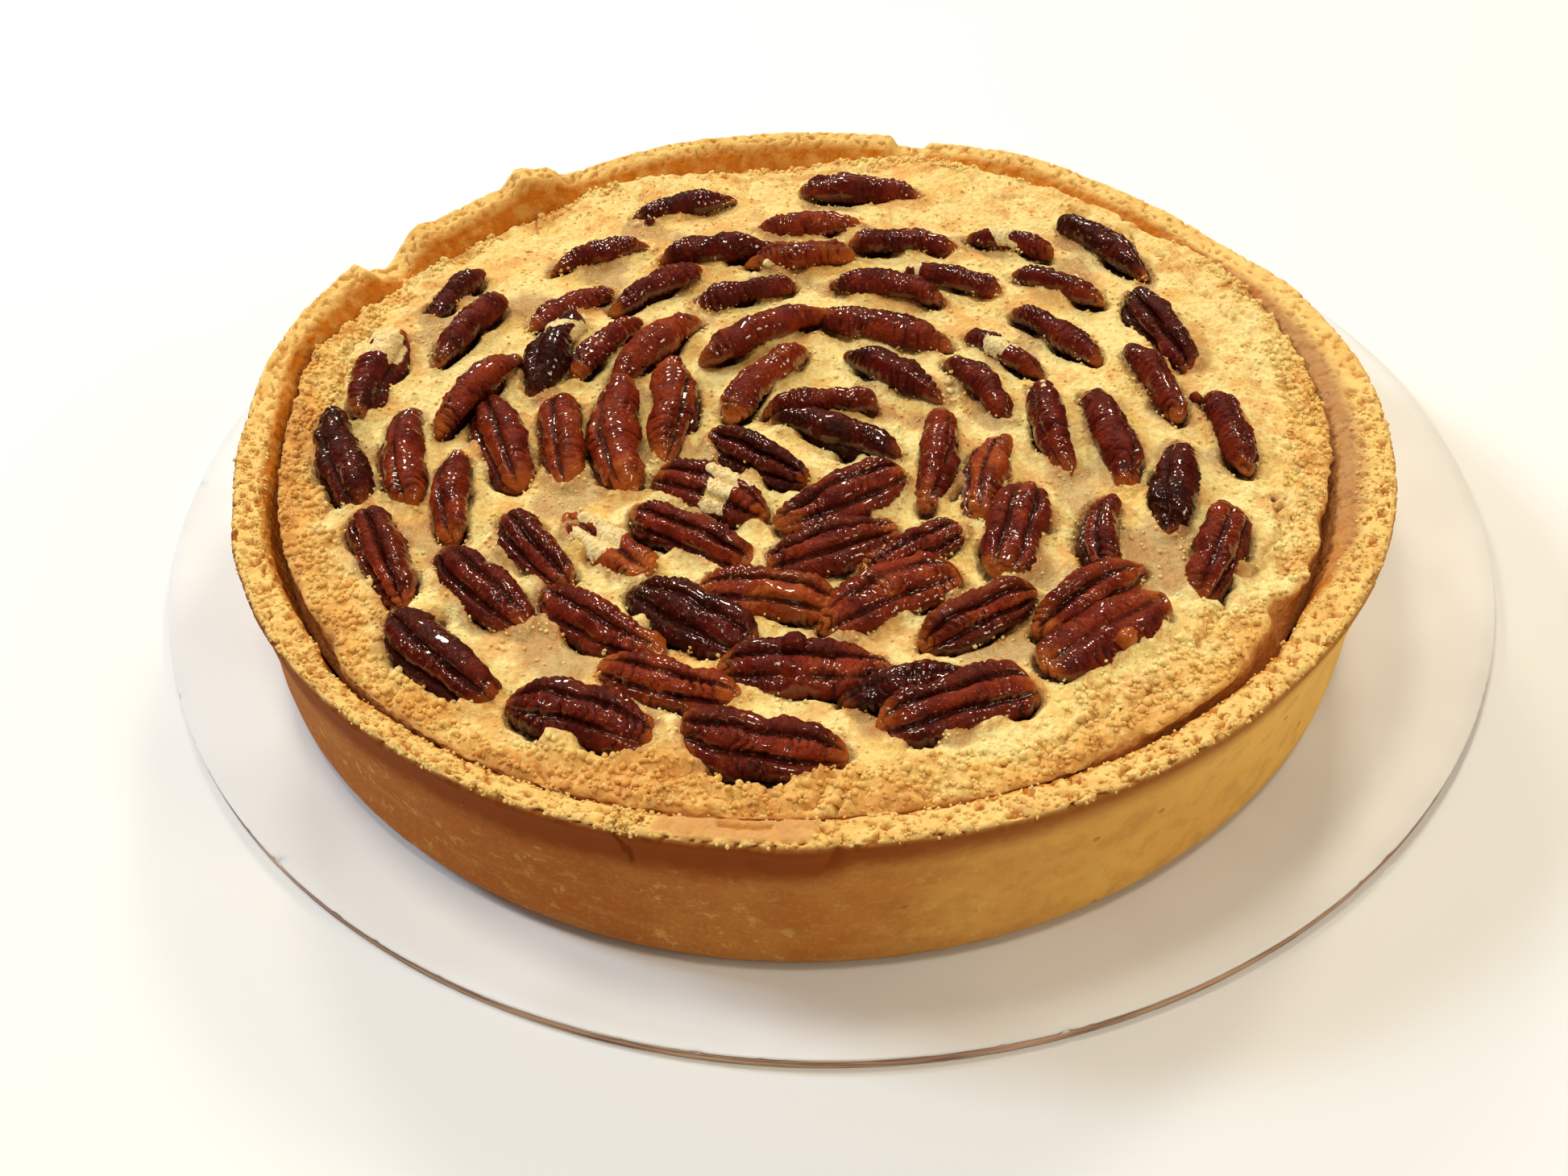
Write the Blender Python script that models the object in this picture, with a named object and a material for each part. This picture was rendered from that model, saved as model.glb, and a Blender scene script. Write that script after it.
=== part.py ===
"""Frangipane tart with pecan halves, out of its tin and standing on a round cake board.

The tart is a deep pastry case, a thick almond filling baked in it and 73 glazed pecan halves
pressed into the filling in rings. Metres, +Z up, -Y towards the viewer. The origin is the
centre of the board's underside.
"""

import math

import bmesh
import bpy
from mathutils import Matrix, Vector, noise

MM = 0.001
TOUCH = 0.3 * MM  # gap kept between pieces that touch

BOARD_RADIUS = 150 * MM
BOARD_THICKNESS = 3 * MM

TART_OFFSET = Vector((-4.7 * MM, -15.6 * MM))  # the tart stands off the board's centre
CASE_BASE_RADIUS = 116.2 * MM
CASE_FLOOR = 6 * MM  # thickness of the pastry under the filling
CASE_ROUND = 1.2 * MM  # at its underside's edge and at its rim
WALL_FOOT_RADIUS = 107 * MM  # inside of the wall where it meets the floor
FILLING_LEVEL = 35 * MM  # of the filling's middle, above the case's underside
FLAT_RADIUS = 70 * MM  # where the filling starts to rise or fall to its edge
FILLING_RINGS = (0.93, 0.81, 0.64, 0.45, 0.24)  # of its edge's radius
FILLING_LUMPS = [(16 * MM, 1.4 * MM, 2.0), (7 * MM, 0.7 * MM, 5.0)]  # size, height and seed

CASE_SEGMENTS = 72  # round the case, besides one at each row of the rim's table
FILLING_SEGMENTS = 48
BOARD_SEGMENTS = 96
SMOOTH_ANGLE = math.radians(40)  # edges sharper than this stay sharp

PECAN_WIDTH = 0.46  # of its length, for a half that lies flat
PECAN_ON_EDGE_WIDTH = 0.40  # for one that lies on its edge
PECAN_THICKNESS = 0.26  # of its length
PECAN_MOST_WIDE = 14.5 * MM
PECAN_ARCH = 0.05  # how far its back bows, of its length
PECAN_BOW_MIDDLE = 0.3  # keeps the bowed nut's middle at its origin
PECAN_BLUNT = 2.3  # how late it tapers to its tips
PECAN_FULL = 0.58  # how round its tips are
PECAN_PROUD = 0.8 * MM  # its middle's height above the filling
BED_CLEAR = 0.4 * MM  # between a pecan and the filling
# A pecan's section from its middle ridge, anticlockwise: across as a share of its width, up
# as a share of its thickness. Its grooves lie beside the middle ridge.
PECAN_SECTION = [
    (0.0, 0.52),
    (-0.2, 0.37),
    (-0.47, 0.2),
    (-0.34, -0.4),
    (0.34, -0.4),
    (0.47, 0.2),
    (0.2, 0.37),
]

COLOURS = {
    "board": (0.86, 0.85, 0.83),
    "crust": (0.62, 0.36, 0.14),
    "filling": (0.84, 0.62, 0.24),
    "pecan": (0.16, 0.035, 0.015),
    "cutter": (0.5, 0.5, 0.5),
}
ROUGHNESS = {"board": 0.45, "crust": 0.8, "filling": 0.85, "pecan": 0.25, "cutter": 0.5}

# The rim by bearing, anticlockwise from +X: its height, its outside radius and its inside radius
# at the top, in millimetres. It is thin and low at the back, with a chip at 74, a lump at 126 and
# a notch at 148, is flattened at the left, and is thicker, higher and more even at the front.
RIM = [
    (0, 37.4, 120.6, 114.9),
    (16, 36.4, 120.3, 114.4),
    (31, 34.2, 119.6, 114.0),
    (45, 34.9, 119.9, 115.0),
    (60, 36.2, 120.0, 115.9),
    (71.5, 35.2, 120.0, 116.0),
    (72.8, 33.3, 120.0, 116.0),
    (75.8, 33.3, 120.0, 116.0),
    (77, 36.0, 120.0, 116.2),
    (104, 36.2, 120.0, 116.0),
    (119.5, 34.6, 120.0, 116.0),
    (122.5, 38.4, 120.2, 115.4),
    (126, 40.3, 120.4, 115.0),
    (129, 36.9, 120.2, 115.4),
    (138, 36.4, 120.0, 115.4),
    (141, 37.4, 120.2, 115.2),
    (147.5, 32.4, 119.6, 114.6),
    (149.5, 34.4, 119.8, 114.8),
    (152, 38.6, 120.1, 115.6),
    (167, 38.6, 119.7, 115.4),
    (182, 37.6, 118.4, 112.5),
    (193, 37.8, 118.2, 112.7),
    (204, 38.8, 119.6, 113.6),
    (217, 39.3, 120.4, 114.0),
    (221, 39.4, 120.5, 115.8),
    (238, 39.4, 120.4, 115.6),
    (254, 39.6, 120.4, 114.7),
    (264, 39.7, 120.3, 114.1),
    (268, 40.2, 120.8, 114.0),
    (272, 39.7, 120.2, 113.8),
    (313, 39.2, 120.2, 114.2),
    (322, 39.0, 120.4, 112.4),
    (328, 38.7, 120.6, 114.0),
    (336, 38.3, 120.8, 115.2),
]

# The seam between the filling and the wall by bearing: the height of the filling's edge, the
# inside radius of the wall there and the width of the open crack between them, in millimetres.
# The filling is level with the rim at the front and lowest at the back.
SEAM = [
    (0, 33.8, 110.2, 1.2),
    (15, 34.2, 111.0, 0.6),
    (30, 33.7, 113.2, 0.0),
    (40, 32.4, 110.6, 0.0),
    (54, 33.4, 110.4, 0.0),
    (74, 34.0, 110.4, 0.0),
    (92, 29.8, 110.2, 0.0),
    (113, 32.4, 110.2, 0.0),
    (130, 30.4, 110.2, 0.0),
    (148, 31.4, 110.2, 0.0),
    (158, 34.2, 110.8, 0.8),
    (168, 36.0, 113.4, 1.6),
    (176, 35.3, 111.4, 1.0),
    (188, 35.4, 110.8, 1.4),
    (196, 35.8, 112.4, 2.0),
    (217, 36.6, 113.6, 2.4),
    (222, 37.6, 115.4, 1.6),
    (232, 38.4, 115.2, 0.7),
    (242, 38.8, 114.9, 0.0),
    (290, 38.8, 113.3, 0.0),
    (300, 38.4, 113.4, 1.2),
    (312, 37.6, 113.4, 1.2),
    (318, 36.8, 112.8, 2.2),
    (324, 35.8, 111.4, 1.4),
    (334, 34.6, 110.8, 2.0),
    (346, 33.8, 110.0, 1.6),
]
CRACK_DEPTH = 8 * MM
KNEE_DEPTH = 3 * MM  # from the filling's edge down to where the wall leans out
EDGE_BELOW_RIM = 0.6 * MM  # of the filling's edge, at the least
SHOULDER = 1.2 * MM  # of the filling's rounded edge
PLUG_SLACK = 0.15 * MM  # for the straight sides of the filling and the wall
CRUMB_SIZE = 5 * MM  # of the crumbs that stand on the rim
CRUMB_HEIGHT = 1.6 * MM
OUTER_CRUMB_SEED = 9.0
INNER_CRUMB_SEED = 11.0

# The short crack in the front of the wall, from the rim down.
SPLIT_BEARING = math.radians(254.2)
SPLIT_HEIGHT = 35.5 * MM
SPLIT_LENGTH = 12 * MM
SPLIT_WIDTH = 0.9 * MM
SPLIT_DEPTH = 2.4 * MM
SPLIT_LEAN = math.radians(17)

# Every pecan half, ring by ring from the middle: its bearing and its distance from the tart's
# middle (mm), the heading of its long axis, its length (mm), its roll and its cluster.
# Roll 0 lies on its flat side, 90 stands on its edge, 180 shows its flat side. Halves that lie
# on one another share a cluster's letter.
RING_1 = [
    (139, 11.5, 57, 30, 60, ""),
    (329, 4.0, 5, 25, 75, "a"),
    (300, 13.6, -28, 30, 80, "a"),
]
RING_2 = [
    (21, 21.5, -42, 27, 45, ""),
    (54, 32.2, -24, 33, 50, "b"),
    (110, 25.5, 31, 34, 60, "b"),
    (183.4, 28.0, 87, 36, -70, ""),
    (237, 35.5, -30, 27, -20, ""),
    (241, 21.0, -38, 26, -50, ""),
    (282, 34.0, 30, 31, -20, "c"),
    (321.2, 34.0, 78, 31, -65, ""),
]
RING_3 = [
    (4, 38.6, -65, 26, 60, ""),
    (19, 47.5, -50, 23, 45, ""),
    (63, 46.0, -18, 29, 60, ""),
    (107, 44.5, 18, 27, 55, ""),
    (148, 38.8, 55, 33, 70, "d"),
    (153, 48.8, 56, 25, 60, ""),
    (191, 51.8, -83, 32, -50, ""),
    (195.4, 40.8, -85, 38, -60, "d"),
    (241, 48.2, -35, 30, -45, ""),
    (275, 47.0, 21, 29, -10, "c"),
    (322.6, 45.3, 73, 26, 40, "e"),
]
RING_4 = [
    (21, 61.9, -52, 27, 60, ""),
    (51, 57.8, -23, 26, 50, ""),
    (67, 67.0, -10, 27, 45, ""),
    (89, 57.0, 6, 27, 29, "k"),
    (107, 62.9, 5, 30, 60, "k"),
    (126, 56.4, 40, 27, 60, ""),
    (159.5, 59.0, 78, 33, 55, "f"),
    (188.8, 64.3, -72, 33, -40, "g"),
    (228, 58.6, -46, 26, 170, ""),
    (262, 60.4, -13, 29, -20, "c"),
    (283, 62.5, 27, 31, -15, "c"),
    (292.4, 52.0, 32, 25, -30, "c"),
    (313, 58.4, 71, 29, -10, "e"),
    (346, 64.9, -85, 33, 65, ""),
    (347, 52.4, -87, 31, -80, ""),
]
RING_5 = [
    (2, 76.1, -78, 27, 50, ""),
    (16, 83.8, -76, 32, -50, ""),
    (34, 73.1, -36, 24, 40, ""),
    (49, 78.7, -24, 22, 50, ""),
    (87, 71.2, 0, 27, 60, ""),
    (128, 76.6, 24, 26, 70, ""),
    (143.4, 65.6, 39, 24, 50, "f"),
    (158, 81.5, 64, 29, 60, ""),
    (175.8, 70.4, 61, 31, 70, "g"),
    (190.7, 83.9, -82, 32, -50, ""),
    (201, 76.6, -84, 28, -60, ""),
    (220, 69.7, -56, 27, -30, ""),
    (222, 83.7, -50, 30, -15, ""),
    (238.8, 77.3, -38, 30, -35, ""),
    (250.4, 67.9, -37, 30, -25, "c"),
    (268.3, 79.2, -3, 32, -15, "i"),
    (294.4, 73.2, 30, 27, -35, ""),
    (309, 81.2, 36, 29, -40, "j"),
    (320.4, 72.4, 78, 24, 50, "j"),
    (336, 79.4, 74, 30, 60, ""),
]
RING_6 = [
    (38, 94.6, -58, 31, 50, ""),
    (79, 90.6, -10, 32, 35, ""),
    (108, 89.5, 18, 28, 50, ""),
    (149, 94.8, 64, 24, 60, ""),
    (171, 94.0, 81, 31, 120, ""),
    (189, 97.0, -70, 35, -60, ""),
    (209, 94.1, -67, 31, -30, ""),
    (228, 101.0, -47, 33, -50, ""),
    (246, 99.6, -21, 30, -20, ""),
    (252, 86.4, -21, 27, -30, ""),
    (264, 98.8, -15, 30, -25, ""),
    (280, 85.4, 15, 24, 25, "i"),
    (284.5, 93.6, 17, 30, -20, "i"),
    (304.5, 90.0, 33, 30, 175, "j"),
    (326, 92.7, 64, 29, -15, ""),
    (350, 89.2, -86, 26, 50, ""),
]
RINGS = [RING_1, RING_2, RING_3, RING_4, RING_5, RING_6]


def smooth_step(low, high, value):
    share = min(max((value - low) / (high - low), 0.0), 1.0)
    return share * share * (3 - 2 * share)


def by_bearing(table, bearing, column=1):
    """The value of a table's column at a bearing in radians, eased between its rows."""
    degrees = math.degrees(bearing) % 360
    rows = table + [(table[0][0] + 360,) + table[0][1:]]
    for low, high in zip(rows, rows[1:]):
        if low[0] <= degrees <= high[0]:
            share = smooth_step(low[0], high[0], degrees)
            return low[column] + (high[column] - low[column]) * share
    return rows[0][column]


def lump(x, y, size, height, seed):
    """A smooth uneven rise and fall of the given size."""
    return height * noise.noise(Vector((x / size, y / size, seed)))


def filling_height(x, y):
    """The filling's top above the case's underside, before the pecans are pressed in."""
    bearing = math.atan2(y, x)
    edge_radius = by_bearing(SEAM, bearing, 2) * MM
    edge_share = smooth_step(FLAT_RADIUS, edge_radius, math.hypot(x, y))
    level = FILLING_LEVEL + (by_bearing(SEAM, bearing) * MM - FILLING_LEVEL) * edge_share
    return level + sum(lump(x, y, size, height, seed) for size, height, seed in FILLING_LUMPS)


def edge_height(bearing):
    """The height of the filling's edge, which stays a little under the rim."""
    rim_height = by_bearing(RIM, bearing) * MM
    return min(by_bearing(SEAM, bearing) * MM, rim_height - EDGE_BELOW_RIM)


def wall_inside(bearing, height):
    """The inside radius of the case's wall at a height above the case's underside."""
    knee = edge_height(bearing) - KNEE_DEPTH
    seam = by_bearing(SEAM, bearing, 2) * MM
    if height < knee:
        share = (height - CASE_FLOOR) / (knee - CASE_FLOOR)
        return WALL_FOOT_RADIUS + (seam - WALL_FOOT_RADIUS) * share
    share = min((height - knee) / (by_bearing(RIM, bearing) * MM - knee), 1.0)
    return seam + (by_bearing(RIM, bearing, 3) * MM - seam) * share


def new_object(name, mesh, collection, kind):
    """An object of the mesh in a collection, with the material of its kind."""
    material = bpy.data.materials.get(kind)
    if material is None:
        material = bpy.data.materials.new(kind)
        material.use_nodes = True
        shader = material.node_tree.nodes["Principled BSDF"]
        shader.inputs["Base Color"].default_value = (*COLOURS[kind], 1)
        shader.inputs["Roughness"].default_value = ROUGHNESS[kind]
        shader.inputs["Metallic"].default_value = 0.0
    made = bpy.data.objects.new(name, mesh)
    made.data.materials.append(material)
    collection.objects.link(made)
    return made


def hidden_cutter(name, mesh, place, collection):
    """A shape that only cuts another, so it shows as a wire and isn't rendered."""
    cutter = new_object(name, mesh, collection, "cutter")
    cutter.matrix_world = place
    cutter.hide_render = True
    cutter.display_type = "WIRE"
    return cutter


def even_bearings(segments):
    return [2 * math.pi * step / segments for step in range(segments)]


def turned_mesh(name, profile, bearings, bottom_height, top_height):
    """A closed mesh round the Z axis, with a section at each bearing.

    The profile takes a bearing and gives the (radius, height) points of the outer skin, from
    the underside's edge to the top's edge; a flat or dished middle closes each end.
    """
    mesh = bmesh.new()
    rings = []
    for bearing in bearings:
        side = Vector((math.cos(bearing), math.sin(bearing), 0))
        points = [side * radius + Vector((0, 0, height)) for radius, height in profile(bearing)]
        rings.append([mesh.verts.new(point) for point in points])
    bottom = mesh.verts.new((0, 0, bottom_height))
    top = mesh.verts.new((0, 0, top_height))
    for left, right in zip(rings, rings[1:] + rings[:1]):
        mesh.faces.new((bottom, right[0], left[0]))
        for low in range(len(left) - 1):
            mesh.faces.new((left[low], right[low], right[low + 1], left[low + 1]))
        mesh.faces.new((left[-1], right[-1], top))
    made = bpy.data.meshes.new(name)
    bmesh.ops.triangulate(mesh, faces=mesh.faces)
    mesh.to_mesh(made)
    mesh.free()
    made.shade_smooth()
    made.set_sharp_from_angle(angle=SMOOTH_ANGLE)
    return made


def case_profile(bearing):
    """The pastry case: up its outside, over the crumbly rim, down its inside to the floor."""
    rim = by_bearing(RIM, bearing) * MM
    outside = by_bearing(RIM, bearing, 2) * MM
    inside = by_bearing(RIM, bearing, 3) * MM
    x = outside * math.cos(bearing)
    y = outside * math.sin(bearing)
    crumb = lump(x, y, CRUMB_SIZE, CRUMB_HEIGHT, OUTER_CRUMB_SEED)
    inner_crumb = lump(x, y, CRUMB_SIZE, CRUMB_HEIGHT, INNER_CRUMB_SEED)
    wall = outside - inside
    flare = outside - CASE_BASE_RADIUS
    points = [
        (CASE_BASE_RADIUS - CASE_ROUND, 0.0),
        (CASE_BASE_RADIUS, CASE_ROUND),
        (CASE_BASE_RADIUS + 0.45 * flare, 0.45 * rim),
        (CASE_BASE_RADIUS + 0.9 * flare, 0.9 * rim),
        (outside, rim - CASE_ROUND),
        (outside - 0.14 * wall, rim + 0.5 * crumb),
        (outside - 0.5 * wall, rim - 0.3 * MM + inner_crumb),
        (inside + 0.12 * wall, rim - 0.8 * MM - crumb),
    ]
    knee = edge_height(bearing) - KNEE_DEPTH
    for height in (0.4 * knee + 0.6 * rim, knee, 0.5 * knee, CASE_FLOOR):
        points.append((wall_inside(bearing, height), height))
    return points


def plug_radius(bearing, height):
    """The filling's radius where it touches the wall: clear of the wall to the next section."""
    reach = math.pi / FILLING_SEGMENTS
    return min(wall_inside(bearing + turn, height) for turn in (-reach, 0, reach)) - TOUCH - PLUG_SLACK


def filling_profile(bearing):
    """The filling: a plug that fits the case, with its puffed top ring by ring inwards."""
    crack = by_bearing(SEAM, bearing, 3) * MM
    top = edge_height(bearing)
    edge = plug_radius(bearing, top - SHOULDER) - crack
    points = []
    for height in (CASE_FLOOR + TOUCH, top - CRACK_DEPTH):
        points.append((plug_radius(bearing, height), height))
    points.append((plug_radius(bearing, top - KNEE_DEPTH) - crack, top - KNEE_DEPTH))
    points.append((edge, top - SHOULDER))
    points.append((edge - 0.6 * SHOULDER, top))
    for share in FILLING_RINGS:
        radius = share * edge
        height = filling_height(radius * math.cos(bearing), radius * math.sin(bearing))
        points.append((radius, height))
    return points


def pecan_mesh(name, length, roll, extra):
    """One pecan half with its long axis on X, its flat side down and its middle at the origin.

    Two long grooves leave three ridges on its back. The extra is added all round.
    """
    share = PECAN_ON_EDGE_WIDTH if 30 <= abs(roll) <= 150 else PECAN_WIDTH
    width = min(share * length, PECAN_MOST_WIDE) + 2 * extra
    thickness = PECAN_THICKNESS * length + 2 * extra
    reach = length / 2 + extra
    sides = len(PECAN_SECTION)
    mesh = bmesh.new()
    bmesh.ops.create_uvsphere(mesh, u_segments=sides, v_segments=5, radius=1.0)
    for vertex in mesh.verts:
        along = vertex.co.z
        turn = math.atan2(vertex.co.y, vertex.co.x) / (2 * math.pi)
        across, up = PECAN_SECTION[round(turn * sides) % sides]
        taper = max(0.0, 1 - abs(along) ** PECAN_BLUNT) ** PECAN_FULL
        bow = PECAN_ARCH * length * (along * along - PECAN_BOW_MIDDLE)
        vertex.co = Vector((along * reach, across * taper * width, up * taper * thickness - bow))
    made = bpy.data.meshes.new(name)
    bmesh.ops.triangulate(mesh, faces=mesh.faces)
    mesh.to_mesh(made)
    mesh.free()
    made.shade_smooth()
    return made


def pecan_place(bearing, distance, heading, roll):
    """Where a pecan half lies: turned to its heading, rolled and pressed into the filling."""
    x = distance * MM * math.cos(math.radians(bearing))
    y = distance * MM * math.sin(math.radians(bearing))
    height = BOARD_THICKNESS + TOUCH + filling_height(x, y) + PECAN_PROUD
    place = Matrix.Translation((x + TART_OFFSET.x, y + TART_OFFSET.y, height))
    turn = Matrix.Rotation(math.radians(heading), 4, "Z")
    tip = Matrix.Rotation(math.radians(-roll), 4, "X")
    return place @ turn @ tip


def fuse(name, pieces):
    """Makes one object of pieces that lie on one another, by a Boolean union."""
    rest = bpy.data.collections.new(name + "_rest")
    for piece in pieces[1:]:
        rest.objects.link(piece)
    whole = pieces[0]
    whole.name = name
    union = whole.modifiers.new("fuse", "BOOLEAN")
    union.operation = "UNION"
    union.operand_type = "COLLECTION"
    union.collection = rest
    union.solver = "EXACT"
    bpy.context.view_layer.update()
    evaluated = whole.evaluated_get(bpy.context.evaluated_depsgraph_get())
    mesh = bpy.data.meshes.new_from_object(evaluated)
    whole.modifiers.clear()
    whole.data = mesh
    for piece in pieces[1:]:
        bpy.data.objects.remove(piece)
    bpy.data.collections.remove(rest)


def make_board(collection):
    """The cake board: a flat disc."""
    mesh = bmesh.new()
    bmesh.ops.create_cone(
        mesh,
        cap_ends=True,
        segments=BOARD_SEGMENTS,
        radius1=BOARD_RADIUS,
        radius2=BOARD_RADIUS,
        depth=BOARD_THICKNESS,
    )
    bmesh.ops.translate(mesh, verts=mesh.verts, vec=(0, 0, BOARD_THICKNESS / 2))
    disc = bpy.data.meshes.new("board")
    mesh.to_mesh(disc)
    mesh.free()
    new_object("board", disc, collection, "board")


def make_pecans(collection, beds):
    """All pecan halves, and for each a slightly larger one that cuts its bed."""
    clusters = {}
    for ring_number, ring in enumerate(RINGS, 1):
        for number, (bearing, distance, heading, length, roll, cluster) in enumerate(ring, 1):
            name = f"pecan_{ring_number}_{number:02d}"
            place = pecan_place(bearing, distance, heading, roll)
            mesh = pecan_mesh(name, length * MM, roll, 0.0)
            half = new_object(name, mesh, collection, "pecan")
            half.matrix_world = place
            bed_mesh = pecan_mesh(name + "_bed", length * MM, roll, BED_CLEAR)
            hidden_cutter(name + "_bed", bed_mesh, place, beds)
            if cluster:
                clusters.setdefault(cluster, []).append(half)
    for cluster, halves in clusters.items():
        fuse("pecans_" + cluster, halves)


def make_case(collection, cutters):
    """The pastry case, with the short crack in the front of its wall."""
    base = Matrix.Translation((TART_OFFSET.x, TART_OFFSET.y, BOARD_THICKNESS + TOUCH))
    bearings = even_bearings(CASE_SEGMENTS) + [math.radians(row[0]) for row in RIM]
    bearings = sorted(set(bearings))
    mesh = turned_mesh("crust", case_profile, bearings, 0.0, CASE_FLOOR)
    case = new_object("crust", mesh, collection, "crust")
    case.matrix_world = base
    lens = bmesh.new()
    size = Matrix.Diagonal((SPLIT_DEPTH, SPLIT_WIDTH / 2, SPLIT_LENGTH / 2, 1))
    bmesh.ops.create_uvsphere(lens, u_segments=6, v_segments=6, radius=1.0, matrix=size)
    blade = bpy.data.meshes.new("split")
    lens.to_mesh(blade)
    lens.free()
    radius = by_bearing(RIM, SPLIT_BEARING, 2) * MM
    place = base @ Matrix.Rotation(SPLIT_BEARING, 4, "Z")
    place = place @ Matrix.Translation((radius, 0, SPLIT_HEIGHT))
    place = place @ Matrix.Rotation(SPLIT_LEAN, 4, "X")
    split = case.modifiers.new("split", "BOOLEAN")
    split.operation = "DIFFERENCE"
    split.solver = "EXACT"
    split.object = hidden_cutter("split", blade, place, cutters)


def make_filling(collection, beds):
    """The filling, whose top is dented by the pecans' beds."""
    base = Matrix.Translation((TART_OFFSET.x, TART_OFFSET.y, BOARD_THICKNESS + TOUCH))
    bearings = even_bearings(FILLING_SEGMENTS)
    middle = filling_height(0, 0)
    plug = turned_mesh("filling", filling_profile, bearings, CASE_FLOOR + TOUCH, middle)
    filling = new_object("filling", plug, collection, "filling")
    filling.matrix_world = base
    dents = filling.modifiers.new("beds", "BOOLEAN")
    dents.operation = "DIFFERENCE"
    dents.operand_type = "COLLECTION"
    dents.collection = beds
    dents.solver = "EXACT"


def main():
    for old in list(bpy.data.objects):
        bpy.data.objects.remove(old)
    parts = bpy.data.collections.new("frangipane_tart")
    cutters = bpy.data.collections.new("cutters")
    beds = bpy.data.collections.new("beds")
    bpy.context.scene.collection.children.link(parts)
    bpy.context.scene.collection.children.link(cutters)
    cutters.children.link(beds)
    make_board(parts)
    make_pecans(parts, beds)
    make_case(parts, cutters)
    make_filling(parts, beds)


main()
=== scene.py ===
"""Looks of the frangipane tart: a deep pastry case filled with baked almond cream and set with
rings of glazed pecan halves, on a round cake board. Metres, +Z up, -Y towards the viewer."""

import math

import bmesh
import bpy
import numpy as np
from mathutils import Euler, Matrix, Vector, noise
from mathutils.bvhtree import BVHTree


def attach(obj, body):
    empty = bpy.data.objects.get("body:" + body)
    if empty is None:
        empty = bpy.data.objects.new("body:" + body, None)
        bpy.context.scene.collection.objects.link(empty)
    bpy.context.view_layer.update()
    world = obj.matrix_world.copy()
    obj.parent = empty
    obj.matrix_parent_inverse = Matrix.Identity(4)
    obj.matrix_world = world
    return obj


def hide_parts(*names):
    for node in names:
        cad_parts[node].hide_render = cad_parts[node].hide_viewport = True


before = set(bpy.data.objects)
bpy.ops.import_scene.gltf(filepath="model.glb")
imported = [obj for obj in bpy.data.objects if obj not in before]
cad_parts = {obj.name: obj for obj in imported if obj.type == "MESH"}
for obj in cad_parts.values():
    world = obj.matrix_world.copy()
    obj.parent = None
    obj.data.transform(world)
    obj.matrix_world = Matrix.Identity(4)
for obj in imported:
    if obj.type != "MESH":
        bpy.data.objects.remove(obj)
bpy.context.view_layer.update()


# ---- The viewpoint ----
# The tart is seen from the front and well above, the way it stands on a counter.

camera = bpy.data.objects.new("camera", bpy.data.cameras.new("camera"))
camera.data.sensor_fit = "HORIZONTAL"
camera.data.sensor_width = 36.0
camera.data.lens = 36.074
camera.location = (-0.010178, -0.285722, 0.241606)
camera.rotation_euler = Euler([math.radians(turn) for turn in (46.4021, 1.3819, -1.3155)])
bpy.context.scene.collection.objects.link(camera)
bpy.context.scene.camera = camera
bpy.context.scene.view_settings.view_transform = "Standard"


# ---- The cake board ----
# A round of grey-brown card faced with smooth white paper. Its cut edge is bare, so the layers
# of card show there, and handling has nicked the paper along it.

MM = 0.001
TOUCH = 0.3 * MM  # gap kept between pieces that touch
BOARD_RADIUS = 150 * MM
BOARD_THICKNESS = 3 * MM
BOARD_SEGMENTS = 900
NICKS = [(28, 0.38, 1.6), (90, 0.3, 0.5)]  # in its edge: how fine, how rare and how deep (mm)
FRAY = 0.07  # of the card's layers, in millimetres
# The edge from the underside up: radius short of the full one, height as a share of the board's
BOARD_EDGE = [
    (0.6, 0.0),
    (0.15, 0.03),
    (0.1, 0.2),
    (0.22, 0.26),
    (0.08, 0.33),
    (0.05, 0.5),
    (0.2, 0.57),
    (0.06, 0.64),
    (0.05, 0.84),
    (0.0, 0.9),
    (0.08, 0.97),
    (0.35, 1.0),
    (3.0, 1.0),
    (30.0, 1.0),
]
PAPER_WHITE = (0.80, 0.80, 0.80)
PAPER_SHADE = (0.73, 0.72, 0.71)
CARD_TAN = (0.66, 0.42, 0.28)
CARD_DARK = (0.26, 0.13, 0.08)


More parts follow.
